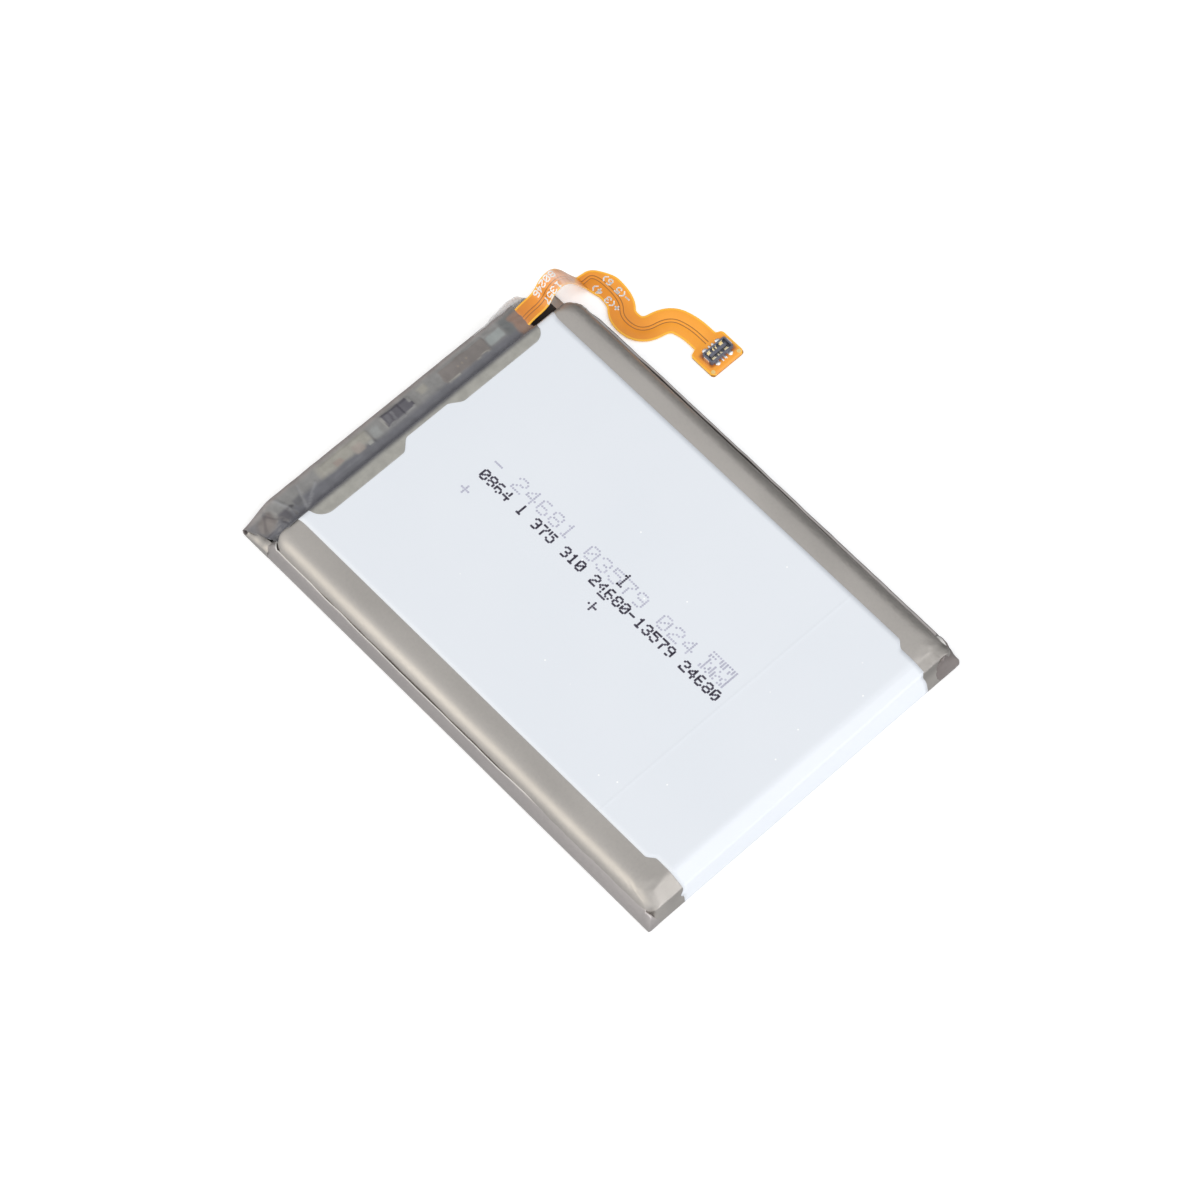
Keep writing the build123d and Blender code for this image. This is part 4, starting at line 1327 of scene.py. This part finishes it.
# ---- printed marks ----
dot_shapes = {
    "0": ".###. #...# #..## #.#.# ##..# #...# .###.",
    "1": "..#.. .##.. ..#.. ..#.. ..#.. ..#.. .###.",
    "2": ".###. #...# ....# ..##. .#... #.... #####",
    "3": ".###. #...# ....# ..##. ....# #...# .###.",
    "4": "...#. ..##. .#.#. #..#. ##### ...#. ...#.",
    "5": "##### #.... ####. ....# ....# #...# .###.",
    "6": ".###. #.... #.... ####. #...# #...# .###.",
    "7": "##### ....# ...#. ..#.. ..#.. ..#.. ..#..",
    "8": ".###. #...# #...# .###. #...# #...# .###.",
    "9": ".###. #...# #...# .#### ....# ....# .###.",
    "(": "...#. ..#.. .#... .#... .#... ..#.. ...#.",
    ")": ".#... ..#.. ...#. ...#. ...#. ..#.. .#...",
    "+": "..... ..#.. ..#.. ##### ..#.. ..#.. .....",
    "-": "..... ..... ..... ##### ..... ..... .....",
    " ": "..... ..... ..... ..... ..... ..... .....",
}


character_dots = 6  # dots from one character to the next


def text_dots(text):
    """(along, up) of each dot of a text, counted in dots from its lower left corner."""
    dots = []
    for index, character in enumerate(text):
        for row, line in enumerate(dot_shapes[character].split()):
            for column, mark in enumerate(line):
                if mark == "#":
                    dots.append((index * character_dots + column, 6 - row))
    return dots


ink_height = 0.004
ink_sunk = 0.002


def ink(name, spots, radius, look):
    """Raised six-sided dots of ink, each on a spot with the two directions of its surface."""
    points = []
    faces = []
    for middle, first, second in spots:
        faces += solid_faces(2, 6, start=len(points))
        outward = first.cross(second)
        for height in (-ink_sunk, ink_height):
            for turn in range(0, 360, 60):
                around = first * cos(radians(turn)) + second * sin(radians(turn))
                points.append(middle + around * radius + outward * height)
    return piece(name, points, faces, look, smooth=False)


def level_spot(x, y, z):
    """A spot on a level surface."""
    return Vector((x, y, z)), Vector((1, 0, 0)), Vector((0, 1, 0))


def label_spots(text, x, y, pitch, advance=None):
    """Spots for a text on the label that reads towards the tail."""
    step = (advance or pitch * character_dots) / character_dots
    return [level_spot(x + up * pitch, y - along * step, label_z) for along, up in text_dots(text)]


def run_spots(text, x, y, pitch):
    """Spots for a text on the flat run of the flex circuit that reads towards the header."""
    z = flat_z + half_stack
    return [level_spot(x - up * pitch, y + along * pitch, z) for along, up in text_dots(text)]


label_z = body_top + skin
# x and y of the first character's foot, pitch of the dots, and step to the next character
dark_spots = label_spots("0864 1 975 310 24680-13579 24680", -0.8, 19.1, 0.195, 1.22)
dark_spots += label_spots("+", -3.5, -1.2, 0.27) + label_spots("-", -1.9, -1.0, 0.25)
dark_spots += label_spots("1", 1.3, -1.3, 0.28)
wear = Random(3)
unworn_share = 0.9
dark_spots = [spot for spot in dark_spots if wear.random() < unworn_share]
ink("ink_dark_digits", dark_spots, 0.16, looks["print_ink"])

faint_spots = label_spots("24681 03579 024", 0.95, 15.6, 0.28, 1.98)
faint_spots += label_spots("+", -3.9, 19.4, 0.26) + label_spots("-", 1.0, 19.1, 0.26)
# a square block of random dots with two full edges
block_random = Random(7)
block_side = 11
block_filled_share = 0.45
for row in range(block_side):
    for column in range(block_side):
        on_full_edge = block_side - 1 in (row, column)
        if on_full_edge or block_random.random() < block_filled_share:
            faint_spots.append(level_spot(0.95 + row * 0.24, -15.2 - column * 0.37, label_z))
ink("ink_faint_digits", faint_spots, 0.15, looks["worn_ink"])


def arm_spots(text, distance, offset, pitch):
    """Spots for a text on the arched arm of the flex circuit that reads towards the cell."""
    spots = []
    for along, up in text_dots(text):
        place = distance - along * pitch
        index = index_at(place)
        middle, left, outward = flex_frame(index)
        share = (flex_distance[index] - place) / (flex_distance[index] - flex_distance[index - 1])
        middle = middle.lerp(flex_line[index - 1], share) + outward * half_stack
        middle = middle + left * (offset - up * pitch)
        spots.append((middle, -left, left.cross(outward)))
    return spots


flex_spots = run_spots("+(3 4)", 27.4, 25.7, 0.125) + run_spots("-(5 6)", 29.15, 25.8, 0.125)
flex_spots += arm_spots("80246", 8.8, 1.4, 0.13) + arm_spots("1357", 8.4, -0.2, 0.13)
ink("ink_flex_marks", flex_spots, 0.105, looks["white_ink"])


# ---- floor ----
floor_look = Look("floor", Roughness=0.9, Emission_Color=(1, 1, 1), Emission_Strength=0.22)
floor_look.colour(floor_look.mix(floor_look.noise(40, 2), (0.95, 0.95, 0.95), (0.97, 0.97, 0.97)))
floor_mesh = bpy.data.meshes.new("floor")
floor_reach = 1.5
floor_corners = [(-1, -1), (1, -1), (1, 1), (-1, 1)]
floor_points = [(x * floor_reach, y * floor_reach, 0) for x, y in floor_corners]
floor_mesh.from_pydata(floor_points, [], [range(4)])
floor_mesh.materials.append(floor_look.material)
floor = placed("floor", floor_mesh)
floor.visible_glossy = False

bpy.context.view_layer.update()
